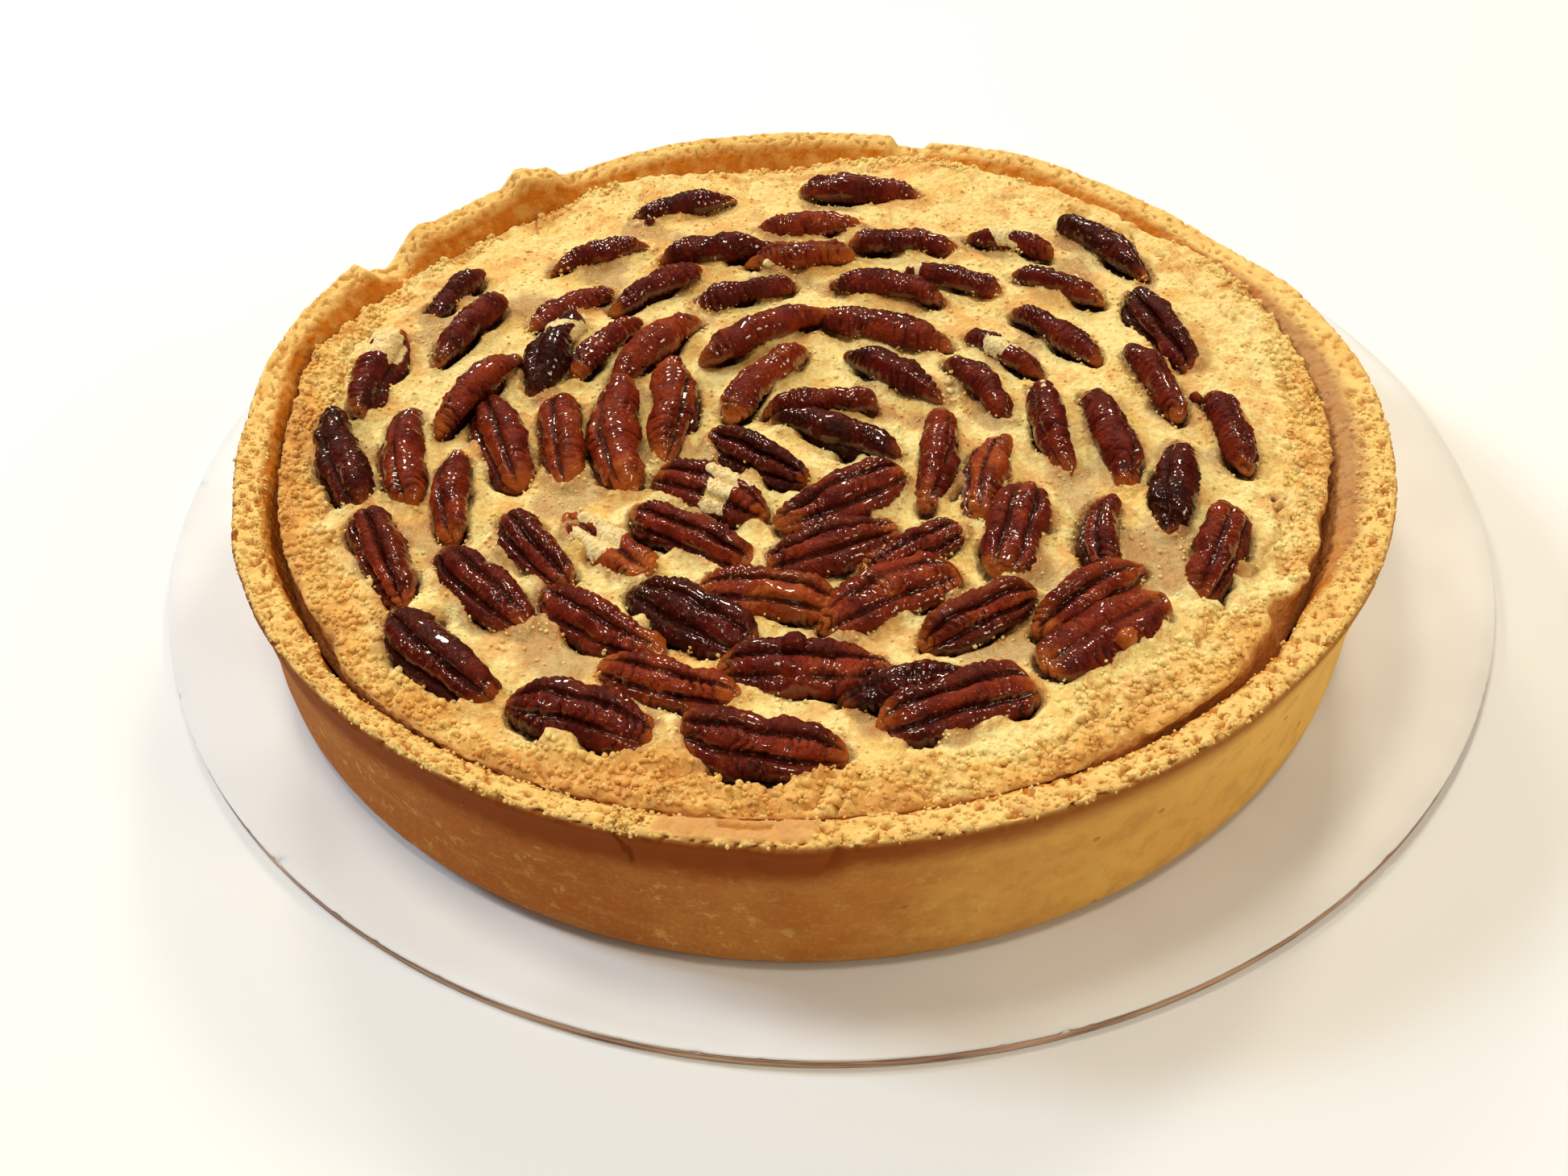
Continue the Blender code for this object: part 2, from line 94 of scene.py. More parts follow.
class Shade:
    """A socket of a material. Sums on it add Math nodes, and node() adds any other node."""

    def __init__(self, tree, socket=None):
        self.tree = tree
        self.socket = socket

    def node(self, kind, settings=None, inputs=None, output=0):
        """Adds a node: its settings first, then its sockets' values or links."""
        made = self.tree.nodes.new("ShaderNode" + kind)
        for name, value in (settings or {}).items():
            if name == "stops":
                self.set_stops(made.color_ramp, value)
            else:
                setattr(made, name, value)
        for name, value in (inputs or {}).items():
            if isinstance(value, Shade):
                self.tree.links.new(value.socket, made.inputs[name])
            else:
                made.inputs[name].default_value = value
        return Shade(self.tree, made.outputs[output])

    def set_stops(self, ramp, stops):
        """Gives a colour ramp its stops, each a position and a colour."""
        while len(ramp.elements) < len(stops):
            ramp.elements.new(1.0)
        for element, (position, colour) in zip(ramp.elements, stops):
            element.position = position
            element.color = (*colour, 1)

    def maths(self, operation, *values):
        """A Math node on the values. It is for numbers only, and turns a colour grey."""
        return self.node("Math", {"operation": operation}, dict(enumerate(values)))

    def __add__(self, other):
        return self.maths("ADD", self, other)

    def __sub__(self, other):
        return self.maths("SUBTRACT", self, other)

    def __mul__(self, other):
        return self.maths("MULTIPLY", self, other)

    def __rsub__(self, other):
        return self.maths("SUBTRACT", other, self)

    __radd__ = __add__
    __rmul__ = __mul__

    def between(self, low, high):
        """0 below low, 1 above high and eased from one to the other."""
        settings = {"interpolation_type": "SMOOTHSTEP"}
        return self.node("MapRange", settings, {0: self, 1: low, 2: high, 3: 0.0, 4: 1.0})

    def blend(self, first, second):
        """The first colour where this is 0, the second where it is 1."""
        colours = [c if isinstance(c, Shade) else (*c, 1) for c in (first, second)]
        inputs = {0: self, 6: colours[0], 7: colours[1]}
        return self.node("Mix", {"data_type": "RGBA"}, inputs, output=2)

    def place(self):
        """Where the point lies on the part, in metres."""
        return self.node("TexCoord", output=3)

    def axis(self, number):
        """The point's place along X, Y or Z (0, 1 or 2), in millimetres."""
        return self.node("SeparateXYZ", {}, {0: self.place()}, output=number) * 1000

    def noise(self, size, detail=3.0, rough=0.55, stretch=(1, 1, 1)):
        """Smooth noise from 0 to 1, whose lumps are about the given size in metres."""
        place = self.place()
        if stretch != (1, 1, 1):
            place = self.node("VectorMath", {"operation": "MULTIPLY"}, {0: place, 1: stretch})
        inputs = {"Vector": place, "Scale": 1 / size, "Detail": detail, "Roughness": rough}
        return self.node("TexNoise", {}, inputs)

    def grains(self, size):
        """The distance from the nearest of many scattered points, in shares of their spacing."""
        inputs = {"Vector": self.place(), "Scale": 1 / size}
        return self.node("TexVoronoi", {}, inputs)

    def trait(self, name):
        """A number that the mesh holds for each of its points."""
        return self.node("Attribute", {"attribute_name": name}, output=2)

    def bump(self, height, depth, strength, under=None):
        """The surface's direction where a height from 0 to 1 raises it by up to the depth."""
        inputs = {"Height": height, "Distance": depth, "Strength": strength}
        if under is not None:
            inputs["Normal"] = under
        return self.node("Bump", {}, inputs)


def new_finish(name, **constants):
    """A material, a Shade to build it with, and its Principled shader's sockets."""
    finish = bpy.data.materials.new(name)
    finish.use_nodes = True
    shader = finish.node_tree.nodes["Principled BSDF"]
    for socket, value in constants.items():
        shader.inputs[socket.replace("_", " ")].default_value = value
    return finish, Shade(finish.node_tree), shader.inputs


def feed(shade, socket):
    """Links a value to one of the shader's sockets."""
    shade.tree.links.new(shade.socket, socket)


def layered(colour, *layers):
    """A colour with others laid over it one by one, each as thick as its own mask says."""
    for mask, over in layers:
        colour = mask.blend(colour, over)
    return colour


def add_piece(name, points, faces, traits, finish, slot, *nodes):
    """A piece that rides on the part and stands for the named solids. A trait is a list with one
    number for each of its points."""
    mesh = bpy.data.meshes.new(name)
    mesh.from_pydata([tuple(point) for point in points], [], faces)
    for trait, values in traits.items():
        layer = mesh.attributes.new(trait, "FLOAT", "POINT")
        layer.data.foreach_set("value", np.asarray(values, np.float32))
    mesh.update()
    mesh.materials.append(finish)
    mesh.shade_smooth()
    piece = bpy.data.objects.new(name, mesh)
    bpy.context.scene.collection.objects.link(piece)
    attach(piece, "root")
    if nodes:
        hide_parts(*nodes)


def closed_band(numbers, top, bottom=None):
    """The faces of a band of numbered points that closes on itself along the first axis, and of
    the fans from its last and first rows to the points in the middle of its ends."""
    after = np.roll(numbers, -1, axis=0)
    quads = [numbers[:, :-1], after[:, :-1], after[:, 1:], numbers[:, 1:]]
    faces = np.stack(quads, axis=2).reshape(-1, 4).tolist()
    pairs = list(zip(numbers.tolist(), after.tolist()))
    faces += [(here[-1], there[-1], top) for here, there in pairs]
    if bottom is not None:
        faces += [(bottom, there[0], here[0]) for here, there in pairs]
    return faces


def field(points, size, seed):
    """Smooth noise from -1 to 1 at each point, whose lumps are about the given size."""
    scaled = np.asarray(points) / size + seed
    return np.array([noise.noise(Vector(point)) for point in scaled])


def ring_noise(bearing, fineness, seed=0.0):
    """Smooth noise from -1 to 1 that closes on itself round the tart."""
    return noise.noise(Vector((math.cos(bearing) * fineness, math.sin(bearing) * fineness, seed)))


points = []
for segment in range(BOARD_SEGMENTS):
    bearing = 2 * math.pi * segment / BOARD_SEGMENTS
    side = Vector((math.cos(bearing), math.sin(bearing), 0))
    nick = sum(max(0.0, ring_noise(bearing, fine) - rare) * deep for fine, rare, deep in NICKS)
    for row, (short, share) in enumerate(BOARD_EDGE):
        fray = FRAY * abs(ring_noise(bearing, 60, row * 3.1))
        wear = nick if 0.6 < share < 1.0 else 0.0
        radius = BOARD_RADIUS - (short + fray + wear) * MM
        points.append(side * radius + Vector((0, 0, share * BOARD_THICKNESS)))
numbers = np.arange(len(points)).reshape(BOARD_SEGMENTS, -1)
points += [Vector((0, 0, 0)), Vector((0, 0, BOARD_THICKNESS))]
faces = closed_band(numbers, top=len(points) - 1, bottom=len(points) - 2)

paper, shade, sockets = new_finish("coated_card", Coat_Roughness=0.25, Specular_IOR_Level=0.4)
from_middle = shade.node("VectorMath", {"operation": "LENGTH"}, {0: shade.place()}, output=1) * 1000
layers = shade.noise(2.2 * MM, 2, 0.6, stretch=(0.12, 0.12, 3.2))
peel = shade.noise(7 * MM, 4, 0.65)
# The paper wraps over the top corner and is worn away in places.
wrapped = (shade.axis(2) + peel * 0.9 - 0.45).between(2.45, 2.75)
bare = from_middle.between(149.72, 149.8) * (1 - wrapped)
white = shade.noise(40 * MM, 2).between(0.3, 0.75).blend(PAPER_WHITE, PAPER_SHADE)
edge = layers.between(0.35, 0.62).blend(CARD_DARK, CARD_TAN)
feed(bare.blend(white, edge), sockets["Base Color"])
feed(0.32 + shade.noise(9 * MM, 4) * 0.16 + bare * 0.4, sockets["Roughness"])
feed(shade.bump(shade.noise(1.6 * MM, 4) + layers * bare * 2, 0.05 * MM, 0.5), sockets["Normal"])
add_piece("cake_board", points, faces, {}, paper, "board", "board")


# ---- The pastry case ----
# Shortcrust pressed into a plain tin, trimmed and baked: smooth and browned where it lay against
# the metal, broken and crumbly along the cut rim. At the front the rim was mended and the wall
# below it cracked a little.

TART_OFFSET = Vector((-4.7 * MM, -15.6 * MM, BOARD_THICKNESS + TOUCH))
CASE_BASE_RADIUS = 116.2 * MM
CASE_FLOOR = 6 * MM  # thickness of the pastry under the filling
CASE_ROUND = 1.2 * MM  # at its underside's edge
RIM_ROUND = 0.6 * MM
WALL_FOOT_RADIUS = 107 * MM  # inside of the wall where it meets the floor
KNEE_DEPTH = 3 * MM  # from the filling's edge down to where the wall leans out
EDGE_BELOW_RIM = 0.6 * MM  # of the filling's edge, at the least
CASE_SEGMENTS = 1560
# How many rows of points lie between the neighbouring corners of the case's profile
CASE_ROWS = (1, 4, 6, 5, 5, 9, 9, 6, 3, 2, 1)

# The rim by bearing, anticlockwise from +X: its height, its outside radius and its inside radius
# at the top, in millimetres. It is thin and low at the back, with a chip at 74, a lump at 126 and
# a notch at 148, is flattened at the left, and is thicker, higher and more even at the front.
RIM = [
    (0, 37.4, 120.6, 114.9),
    (16, 36.4, 120.3, 114.4),
    (31, 34.2, 119.6, 114.0),
    (45, 34.9, 119.9, 115.0),
    (60, 36.2, 120.0, 115.9),
    (71.5, 35.2, 120.0, 116.0),
    (72.8, 33.3, 120.0, 116.0),
    (75.8, 33.3, 120.0, 116.0),
    (77, 36.0, 120.0, 116.2),
    (104, 36.2, 120.0, 116.0),
    (119.5, 34.6, 120.0, 116.0),
    (122.5, 38.4, 120.2, 115.4),
    (126, 40.3, 120.4, 115.0),
    (129, 36.9, 120.2, 115.4),
    (138, 36.4, 120.0, 115.4),
    (141, 37.4, 120.2, 115.2),
    (147.5, 32.4, 119.6, 114.6),
    (149.5, 34.4, 119.8, 114.8),
    (152, 38.6, 120.1, 115.6),
    (167, 38.6, 119.7, 115.4),
    (182, 37.6, 118.4, 112.5),
    (193, 37.8, 118.2, 112.7),
    (204, 38.8, 119.6, 113.6),
    (217, 39.3, 120.4, 114.0),
    (221, 39.4, 120.5, 115.8),
    (238, 39.4, 120.4, 115.6),
    (254, 39.6, 120.4, 114.7),
    (264, 39.7, 120.3, 114.1),
    (268, 40.2, 120.8, 114.0),
    (272, 39.7, 120.2, 113.8),
    (313, 39.2, 120.2, 114.2),
    (322, 39.0, 120.4, 112.4),
    (328, 38.7, 120.6, 114.0),
    (336, 38.3, 120.8, 115.2),
]

# The seam between the filling and the wall by bearing: the height of the filling's edge, the
# inside radius of the wall there and the width of the open crack between them, in millimetres.
# The filling is level with the rim at the front and lowest at the back.
SEAM = [
    (0, 33.8, 110.2, 1.2),
    (15, 34.2, 111.0, 0.6),
    (30, 33.7, 113.2, 0.0),
    (40, 32.4, 110.6, 0.0),
    (54, 33.4, 110.4, 0.0),
    (74, 34.0, 110.4, 0.0),
    (92, 29.8, 110.2, 0.0),
    (113, 32.4, 110.2, 0.0),
    (130, 30.4, 110.2, 0.0),
    (148, 31.4, 110.2, 0.0),
    (158, 34.2, 110.8, 0.8),
    (168, 36.0, 113.4, 1.6),
    (176, 35.3, 111.4, 1.0),
    (188, 35.4, 110.8, 1.4),
    (196, 35.8, 112.4, 2.0),
    (217, 36.6, 113.6, 2.4),
    (222, 37.6, 115.4, 1.6),
    (232, 38.4, 115.2, 0.7),
    (242, 38.8, 114.9, 0.0),
    (290, 38.8, 113.3, 0.0),
    (300, 38.4, 113.4, 1.2),
    (312, 37.6, 113.4, 1.6),
    (318, 36.8, 112.8, 2.8),
    (324, 35.8, 111.4, 2.2),
    (334, 34.6, 110.8, 2.6),
    (346, 33.8, 110.0, 2.0),
]

# Where the rim is broken and crumbly, by place along the profile's corners, and how much
CRUMBLY = ([3.5, 4.4, 7.2, 8.6, 10.0], [0.0, 1.0, 1.0, 0.45, 0.1])
ROUGHEST_BEARINGS = (190, 350, 12)  # first, last and soft width of the stretch, in degrees
PORE_DEPTH = 1.2  # in millimetres

# The smooth mend at the front of the rim with a dent in it, and the swelling and the slanting fold
# in the wall below its right end. Each has its first and last bearing in degrees, or its lowest
# and highest radius or height, and how softly it ends.
MEND_BEARINGS = (257.2, 268.5, 1.2)
MEND_RADII = (114.5 * MM, 119 * MM, 1 * MM)
MEND_PLACES = (4.6, 7.4, 0.4)  # along the profile's corners
DENT_BEARINGS = (261.6, 265.6, 0.5)
DENT_RADII = (115.6 * MM, 116.4 * MM, 0.6 * MM)
SWELLING_BEARINGS = (265.8, 269.0, 1.6)
SWELLING_HEIGHTS = (34.5 * MM, 38.5 * MM, 3.5 * MM)
SWELLING_RISE = 0.6  # in millimetres
FOLD_BEARING = 270.4
FOLD_HEIGHT = 36 * MM  # where it has that bearing
FOLD_SLANT = 140  # degrees for each metre up
FOLD_WIDTH = 0.4  # in degrees
FOLD_HEIGHTS = (33 * MM, 39 * MM, 2 * MM)
FOLD_DEPTH = 0.8  # in millimetres

# The short crack in the front of the wall, from the rim down.
SPLIT_BEARING = math.radians(254.2)
SPLIT_HEIGHT = 35.5 * MM
SPLIT_LENGTH = 12 * MM
SPLIT_WIDTH = 0.9 * MM
SPLIT_DEPTH = 2.4 * MM
SPLIT_LEAN = math.radians(17)
SPLIT_STEP = math.radians(0.06)  # between the points across it

# The wall's colour at the left holds painted shade, and at the right painted light.
CRUST_LEFT_TONE_AND_SHADE = (0.42, 0.125, 0.021)
CRUST_RIGHT_TONE_AND_LIGHT = (0.88, 0.50, 0.115)
CRUST_BAND = (0.25, 0.055, 0.006)
CRUST_PALE = (0.72, 0.43, 0.13)
RIM_GOLD = (0.84, 0.56, 0.19)
RIM_TOAST = (0.62, 0.31, 0.07)
RIM_PORE = (0.50, 0.15, 0.022)
WALL_INSIDE = (0.52, 0.155, 0.012)
WALL_FLOURY = (0.50, 0.28, 0.12)
MEND_PINK = (0.56, 0.26, 0.09)


def smooth_step(low, high, value):
    """0 at the low value and below, 1 at the high one and above, eased between them."""
    share = min(max((value - low) / (high - low), 0.0), 1.0)
    return share * share * (3 - 2 * share)


def by_bearing(table, bearing, column=1):
    """The value of a table's column at a bearing in radians, eased between its rows."""
    degrees = math.degrees(bearing) % 360
    rows = table + [(table[0][0] + 360,) + table[0][1:]]
    for low, high in zip(rows, rows[1:]):
        if low[0] <= degrees <= high[0]:
            share = smooth_step(low[0], high[0], degrees)
            return low[column] + (high[column] - low[column]) * share
    return rows[0][column]


def edge_height(bearing):
    """The height of the filling's edge, which stays a little under the rim."""
    rim_height = by_bearing(RIM, bearing) * MM
    return min(by_bearing(SEAM, bearing) * MM, rim_height - EDGE_BELOW_RIM)


def wall_inside(bearing, height):
    """The inside radius of the case's wall at a height above the case's underside."""
    knee = edge_height(bearing) - KNEE_DEPTH
    seam = by_bearing(SEAM, bearing, 2) * MM
    if height < knee:
        share = (height - CASE_FLOOR) / (knee - CASE_FLOOR)
        return WALL_FOOT_RADIUS + (seam - WALL_FOOT_RADIUS) * share
    share = min((height - knee) / (by_bearing(RIM, bearing) * MM - knee), 1.0)
    return seam + (by_bearing(RIM, bearing, 3) * MM - seam) * share


def case_profile(bearing):
    """The corners of the case: up its outside, over the rim, down its inside to the floor."""
    rim = by_bearing(RIM, bearing) * MM
    outside = by_bearing(RIM, bearing, 2) * MM
    inside = by_bearing(RIM, bearing, 3) * MM
    wall = outside - inside
    flare = outside - CASE_BASE_RADIUS
    corners = [
        (CASE_BASE_RADIUS - CASE_ROUND, 0.0),
        (CASE_BASE_RADIUS, CASE_ROUND),
        (CASE_BASE_RADIUS + 0.45 * flare, 0.45 * rim),
        (CASE_BASE_RADIUS + 0.9 * flare, 0.9 * rim),
        (outside, rim - RIM_ROUND),
        (outside - 0.12 * wall, rim),
        (outside - 0.5 * wall, rim - 0.3 * MM),
        (inside + 0.12 * wall, rim - 0.8 * MM),
    ]
    knee = edge_height(bearing) - KNEE_DEPTH
    for height in (0.4 * knee + 0.6 * rim, knee, 0.5 * knee, CASE_FLOOR):
        corners.append((wall_inside(bearing, height), height))
    return corners


def curve_through(corners, rows):
    """Points on smooth curves through each profile's corners, and each row's place along it."""
    steps = np.linalg.norm(np.diff(corners, axis=1), axis=2, keepdims=True)
    slopes = np.diff(corners, axis=1) / steps
    inner = slopes[:, :-1] * steps[:, 1:] + slopes[:, 1:] * steps[:, :-1]
    inner = inner / (steps[:, 1:] + steps[:, :-1])
    slopes = np.concatenate([slopes[:, :1], inner, slopes[:, -1:]], axis=1)
    found = []
    place = []
    for index, count in enumerate(rows):
        low, high = corners[:, index], corners[:, index + 1]
        rise, fall = slopes[:, index] * steps[:, index], slopes[:, index + 1] * steps[:, index]
        for t in (step / count for step in range(count)):
            curve = low * (1 + 2 * t) * (1 - t) ** 2 + high * t * t * (3 - 2 * t)
            found.append(curve + rise * t * (1 - t) ** 2 - fall * t * t * (1 - t))
            place.append(index + t)
    found.append(corners[:, -1])
    place.append(len(rows))
    return np.stack(found, axis=1), np.array(place)


def crumble(points, size, seed):
    """Uneven crumbly relief from about -1 to 1 with detail down to an eighth of its size."""
    scaled = points / size + seed
    return np.array([noise.fractal(Vector(point), 0.8, 2.1, 4) for point in scaled])


def in_window(value, low, high, soft):
    """1 between low and high, eased to 0 outside over the soft width."""
    rise = np.clip((value - low) / soft + 1, 0, 1)
    fall = np.clip((high - value) / soft + 1, 0, 1)
    share = rise * fall
    return share * share * (3 - 2 * share)


even = [2 * math.pi * step / CASE_SEGMENTS for step in range(CASE_SEGMENTS)]
fine = [SPLIT_BEARING + SPLIT_STEP * step for step in range(-22, 23)]
bearings = np.array(sorted(set(even + fine)))
corners = np.array([case_profile(bearing) for bearing in bearings])
profile, place = curve_through(corners, CASE_ROWS)
along = np.gradient(profile, axis=1)
outward = np.stack([along[..., 1], -along[..., 0]], axis=2)
outward /= np.linalg.norm(outward, axis=2, keepdims=True)
segments, rows = profile.shape[:2]
degrees = np.repeat(np.degrees(bearings)[:, None], rows, axis=1)
radius, height = profile[..., 0], profile[..., 1]
directions = np.stack([np.cos(bearings), np.sin(bearings)], axis=1)


def placed(outline):
    """The points of the case in space, in rows round it."""
    flat = outline[..., :1] * directions[:, None, :]
    return np.concatenate([flat, outline[..., 1:]], axis=2).reshape(-1, 3)


def all_round(row_values):
    """The values of the profile's rows, repeated for every segment of the case."""
    return np.repeat(row_values[None, :], segments, axis=0)


even_points = placed(profile)
waver = field(even_points, 3 * MM, 44.0).reshape(segments, rows)
mend = in_window(degrees + 1.2 * waver, *MEND_BEARINGS) * in_window(radius + waver * MM, *MEND_RADII)
mend *= all_round(in_window(place, *MEND_PLACES))
dent = in_window(degrees, *DENT_BEARINGS) * in_window(radius + 0.4 * waver * MM, *DENT_RADII) * mend
rough = 0.6 + 0.4 * in_window(degrees, *ROUGHEST_BEARINGS)
weight = (all_round(np.interp(place, *CRUMBLY)) * rough * (1 - 0.8 * mend)).reshape(-1)
on_rim = weight > 0.02
rim_points = even_points[on_rim]
pores = np.zeros(len(even_points))
pores[on_rim] = field(rim_points, 1.7 * MM, 3.0) + 0.6 * field(rim_points, 0.9 * MM, 9.0)
pores = np.clip((pores - 0.18) * 4.5, 0, 1)
relief = -PORE_DEPTH * pores
relief[on_rim] += 0.45 * crumble(rim_points, 3.2 * MM, 12.0) - 0.05
across = (degrees - math.degrees(SPLIT_BEARING)) * math.pi / 180 * radius
up = height - SPLIT_HEIGHT
side = (across * math.cos(SPLIT_LEAN) + up * math.sin(SPLIT_LEAN)) / (SPLIT_WIDTH / 2)
length = (up * math.cos(SPLIT_LEAN) - across * math.sin(SPLIT_LEAN)) / (SPLIT_LENGTH / 2)
open_share = np.sqrt(np.clip(1 - side**2 - length**2, 0, 1)) * all_round(place < 6)
wave = 0.22 * field(even_points, 22 * MM, 5.0) + 0.06 * field(even_points, 5 * MM, 15.0)
swelling = in_window(degrees, *SWELLING_BEARINGS) * in_window(height, *SWELLING_HEIGHTS)
from_fold = (degrees - FOLD_BEARING - FOLD_SLANT * (height - FOLD_HEIGHT)) / FOLD_WIDTH
fold = np.exp(-(from_fold**2)) * in_window(height, *FOLD_HEIGHTS)
on_wall = (SWELLING_RISE * swelling - FOLD_DEPTH * fold) * all_round(place < 5)
shift = (weight * relief).reshape(segments, rows) + wave.reshape(segments, rows) * all_round(place > 1)
shift = (shift - dent + on_wall) * MM - SPLIT_DEPTH * open_share
case_points = placed(profile + outward * shift[..., None])
numbers = np.arange(len(case_points)).reshape(segments, rows)
case_points = np.concatenate([case_points, [(0, 0, 0), (0, 0, CASE_FLOOR)]]) + TART_OFFSET
faces = closed_band(numbers, top=len(case_points) - 1, bottom=len(case_points) - 2)
case_traits = {
    "rim": all_round(np.interp(place, [3.9, 4.5], [0, 1])),
    # Pores and the dent in the mend are darker: their browner crumb and painted shade in them.
    "pore": np.clip(pores * weight + dent.reshape(-1), 0, 1),
    "inner": all_round(np.interp(place, [6.9, 7.8], [0, 1])),
    "mend": mend,
    "split": open_share,
}
# The middle points of the underside and of the floor have none of these traits.
case_traits = {trait: np.append(values, [0, 0]) for trait, values in case_traits.items()}

pastry, shade, sockets = new_finish(
    "baked_shortcrust",
    Specular_IOR_Level=0.04,
    Subsurface_Weight=0.25,
    Subsurface_Radius=(1.0, 0.6, 0.3),
    Subsurface_Scale=0.8 * MM,
)
side = shade.axis(0)
mottle = shade.noise(5 * MM, 4, 0.6)
cloud = shade.noise(24 * MM, 3)
fine = shade.noise(0.9 * MM, 3, 0.6)
# The wall is darkest at the left and palest at the right and at the back. From left to right this
# is partly the crust's own colour and partly painted light: painted shade at the left and painted
# light at the right, where the warm fill falls.
rightward_tone_and_light = (side + cloud * 90 - 45).between(-50, 110)
streaks = shade.noise(14 * MM, 4, 0.6, stretch=(1, 1, 4)).between(0.5, 0.72)
pale_spots = shade.noise(3.2 * MM, 3, 0.6).between(0.57, 0.68) * cloud.between(0.3, 0.6)
# A browner band runs under the rim and is weaker to the right of the fold.
past_fold = side.between(-6, 0)
band = shade.axis(2) + mottle * 6 + cloud * 4 - rightward_tone_and_light * 3 - past_fold * 3.5
pits = 1 - (shade.grains(8.5 * MM) + fine * 0.03).between(0.075, 0.105)
wall = layered(
    # Painted shade at the left and painted light at the right, over the crust's own change of colour.
    rightward_tone_and_light.blend(CRUST_LEFT_TONE_AND_SHADE, CRUST_RIGHT_TONE_AND_LIGHT),
    (streaks * (0.15 + rightward_tone_and_light * 0.25), CRUST_PALE),
    ((1 - mottle.between(0.3, 0.55)) * 0.22, CRUST_BAND),
    (pale_spots * 0.5, CRUST_PALE),
    (shade.axis(1).between(-30, 60) * 0.35, CRUST_PALE),
    (fine.between(0.5, 0.72) * 0.22, CRUST_PALE),
    (band.between(33.5, 41) * (1.05 - rightward_tone_and_light * 0.3), CRUST_BAND),
    (pits * 0.7, RIM_PORE),
)
top = layered(
    RIM_GOLD,
    (shade.noise(7 * MM, 4).between(0.4, 0.75) * 0.7, RIM_TOAST),
    (fine.between(0.45, 0.65) * 0.5, CRUST_PALE),
    # The pores darker: browner crumb with painted shade.
    (shade.trait("pore").between(0.1, 0.9) * 0.75, RIM_PORE),
)
inside = layered(
    WALL_INSIDE,
    (shade.noise(4 * MM, 4).between(0.4, 0.7) * 0.8, RIM_TOAST),
    ((side + mottle * 40).between(102, 128) * 0.75, WALL_FLOURY),
)
whole = layered(
    wall,
    (shade.trait("rim"), top),
    (shade.trait("inner"), inside),
    (shade.trait("mend") * (1 - shade.trait("pore")) * 0.8, MEND_PINK),
    (shade.trait("split").between(0.1, 0.6), RIM_PORE),
)
feed(whole, sockets["Base Color"])
feed(0.62 + mottle * 0.2 + shade.trait("rim") * 0.15, sockets["Roughness"])
# Loose crumbs share this finish and have no relief of their own.
fixed = 1 - shade.trait("loose")
grainy = shade.bump(shade.noise(1.2 * MM, 2, 0.5) * shade.trait("rim") * fixed, 0.6 * MM, 0.8)
skin_relief = (fine * 0.7 + mottle * 0.4 - pits * 2.0) * fixed
feed(shade.bump(skin_relief, 0.16 * MM, 0.9, grainy), sockets["Normal"])
add_piece("pastry_case", case_points, faces, case_traits, pastry, "crust", "crust")


# ---- The pecan halves ----
# Roasted halves pressed into the filling ring by ring, most of them on their edges, and brushed
# with syrup. Each has two long grooves in its back, fine wrinkles across it and a channel in its
# flat side.

PECAN_WIDTH = 0.41  # of its length, for a half that lies flat
PECAN_ON_EDGE_WIDTH = 0.37  # for one that lies on its edge
PECAN_THICKNESS = 0.25  # of its length
PECAN_MOST_WIDE = 14.5 * MM
PECAN_ARCH = 0.05  # how far its back bows, of its length
PECAN_BOW_MIDDLE = 0.3  # keeps the bowed nut's middle at its origin
PECAN_BLUNT = (2.2, 4.2)  # how late it tapers to its tips, at the least and at the most
PECAN_FULL = 0.58  # how round its tips are
PECAN_PROUD = 0.8 * MM  # its middle's height above the filling
PECAN_ALONG = 76
PECAN_AROUND = 34
PECAN_CLOSER = 0.5  # how much closer its points lie on the side that is seen
# Half a pecan's section from the middle ridge to the flat side's channel: across as a share of
# its width, up as a share of its thickness. The second is the same half where no groove runs.
PECAN_GROOVED = [
    (0.0, 0.52),
    (-0.11, 0.47),
    (-0.185, 0.24),
    (-0.25, 0.41),
    (-0.38, 0.36),
    (-0.47, 0.18),
    (-0.46, -0.08),
    (-0.36, -0.36),
    (-0.2, -0.42),
    (-0.07, -0.34),
    (0.0, -0.26),
]
PECAN_PLAIN = [
    (0.0, 0.50),
    (-0.12, 0.49),
    (-0.22, 0.455),
    (-0.31, 0.40),
    (-0.40, 0.31),
    (-0.47, 0.14),
    (-0.46, -0.08),
    (-0.36, -0.32),
    (-0.2, -0.40),
    (-0.07, -0.40),
    (0.0, -0.38),
]
WRINKLE_SPACING = 1.8 * MM
WRINKLE_HEIGHT = 0.65 * MM
PECANS_HIGHEST = 45.6 * MM  # above this they are pressed further in

FILLING_LEVEL = 35 * MM  # of the filling's middle, above the case's underside
FLAT_RADIUS = 70 * MM  # where the filling starts to rise or fall to its edge
FILLING_LUMPS = [(16 * MM, 1.4 * MM, 2.0), (7 * MM, 0.7 * MM, 5.0)]  # size, height and seed

# Every pecan half, ring by ring from the middle: its bearing and its distance from the tart's
# middle (mm), the heading of its long axis, its length (mm), its roll, its cluster and its
# roast, from 0 for nearly black to 9 for amber. Roll 0 lies on its flat side, 90 stands on its
# edge, 180 shows its flat side. Halves that lie on one another share a cluster's letter.
RING_1 = [
    (139, 11.5, 57, 30, 60, "", 5),
    (329, 4.0, 5, 25, 75, "a", 3),
    (300, 13.6, -28, 30, 80, "a", 1),
]
RING_2 = [
    (21, 21.5, -42, 27, 45, "", 2),
    (54, 32.2, -24, 33, 50, "b", 4),
    (110, 25.5, 31, 34, 60, "b", 4),
    (183.4, 28.0, 87, 36, -70, "", 5),
    (237, 35.5, -30, 27, -20, "", 4),
    (241, 21.0, -38, 26, -50, "", 2),
    (282, 34.0, 30, 31, -20, "c", 4),
    (321.2, 34.0, 78, 31, -65, "", 4),
]
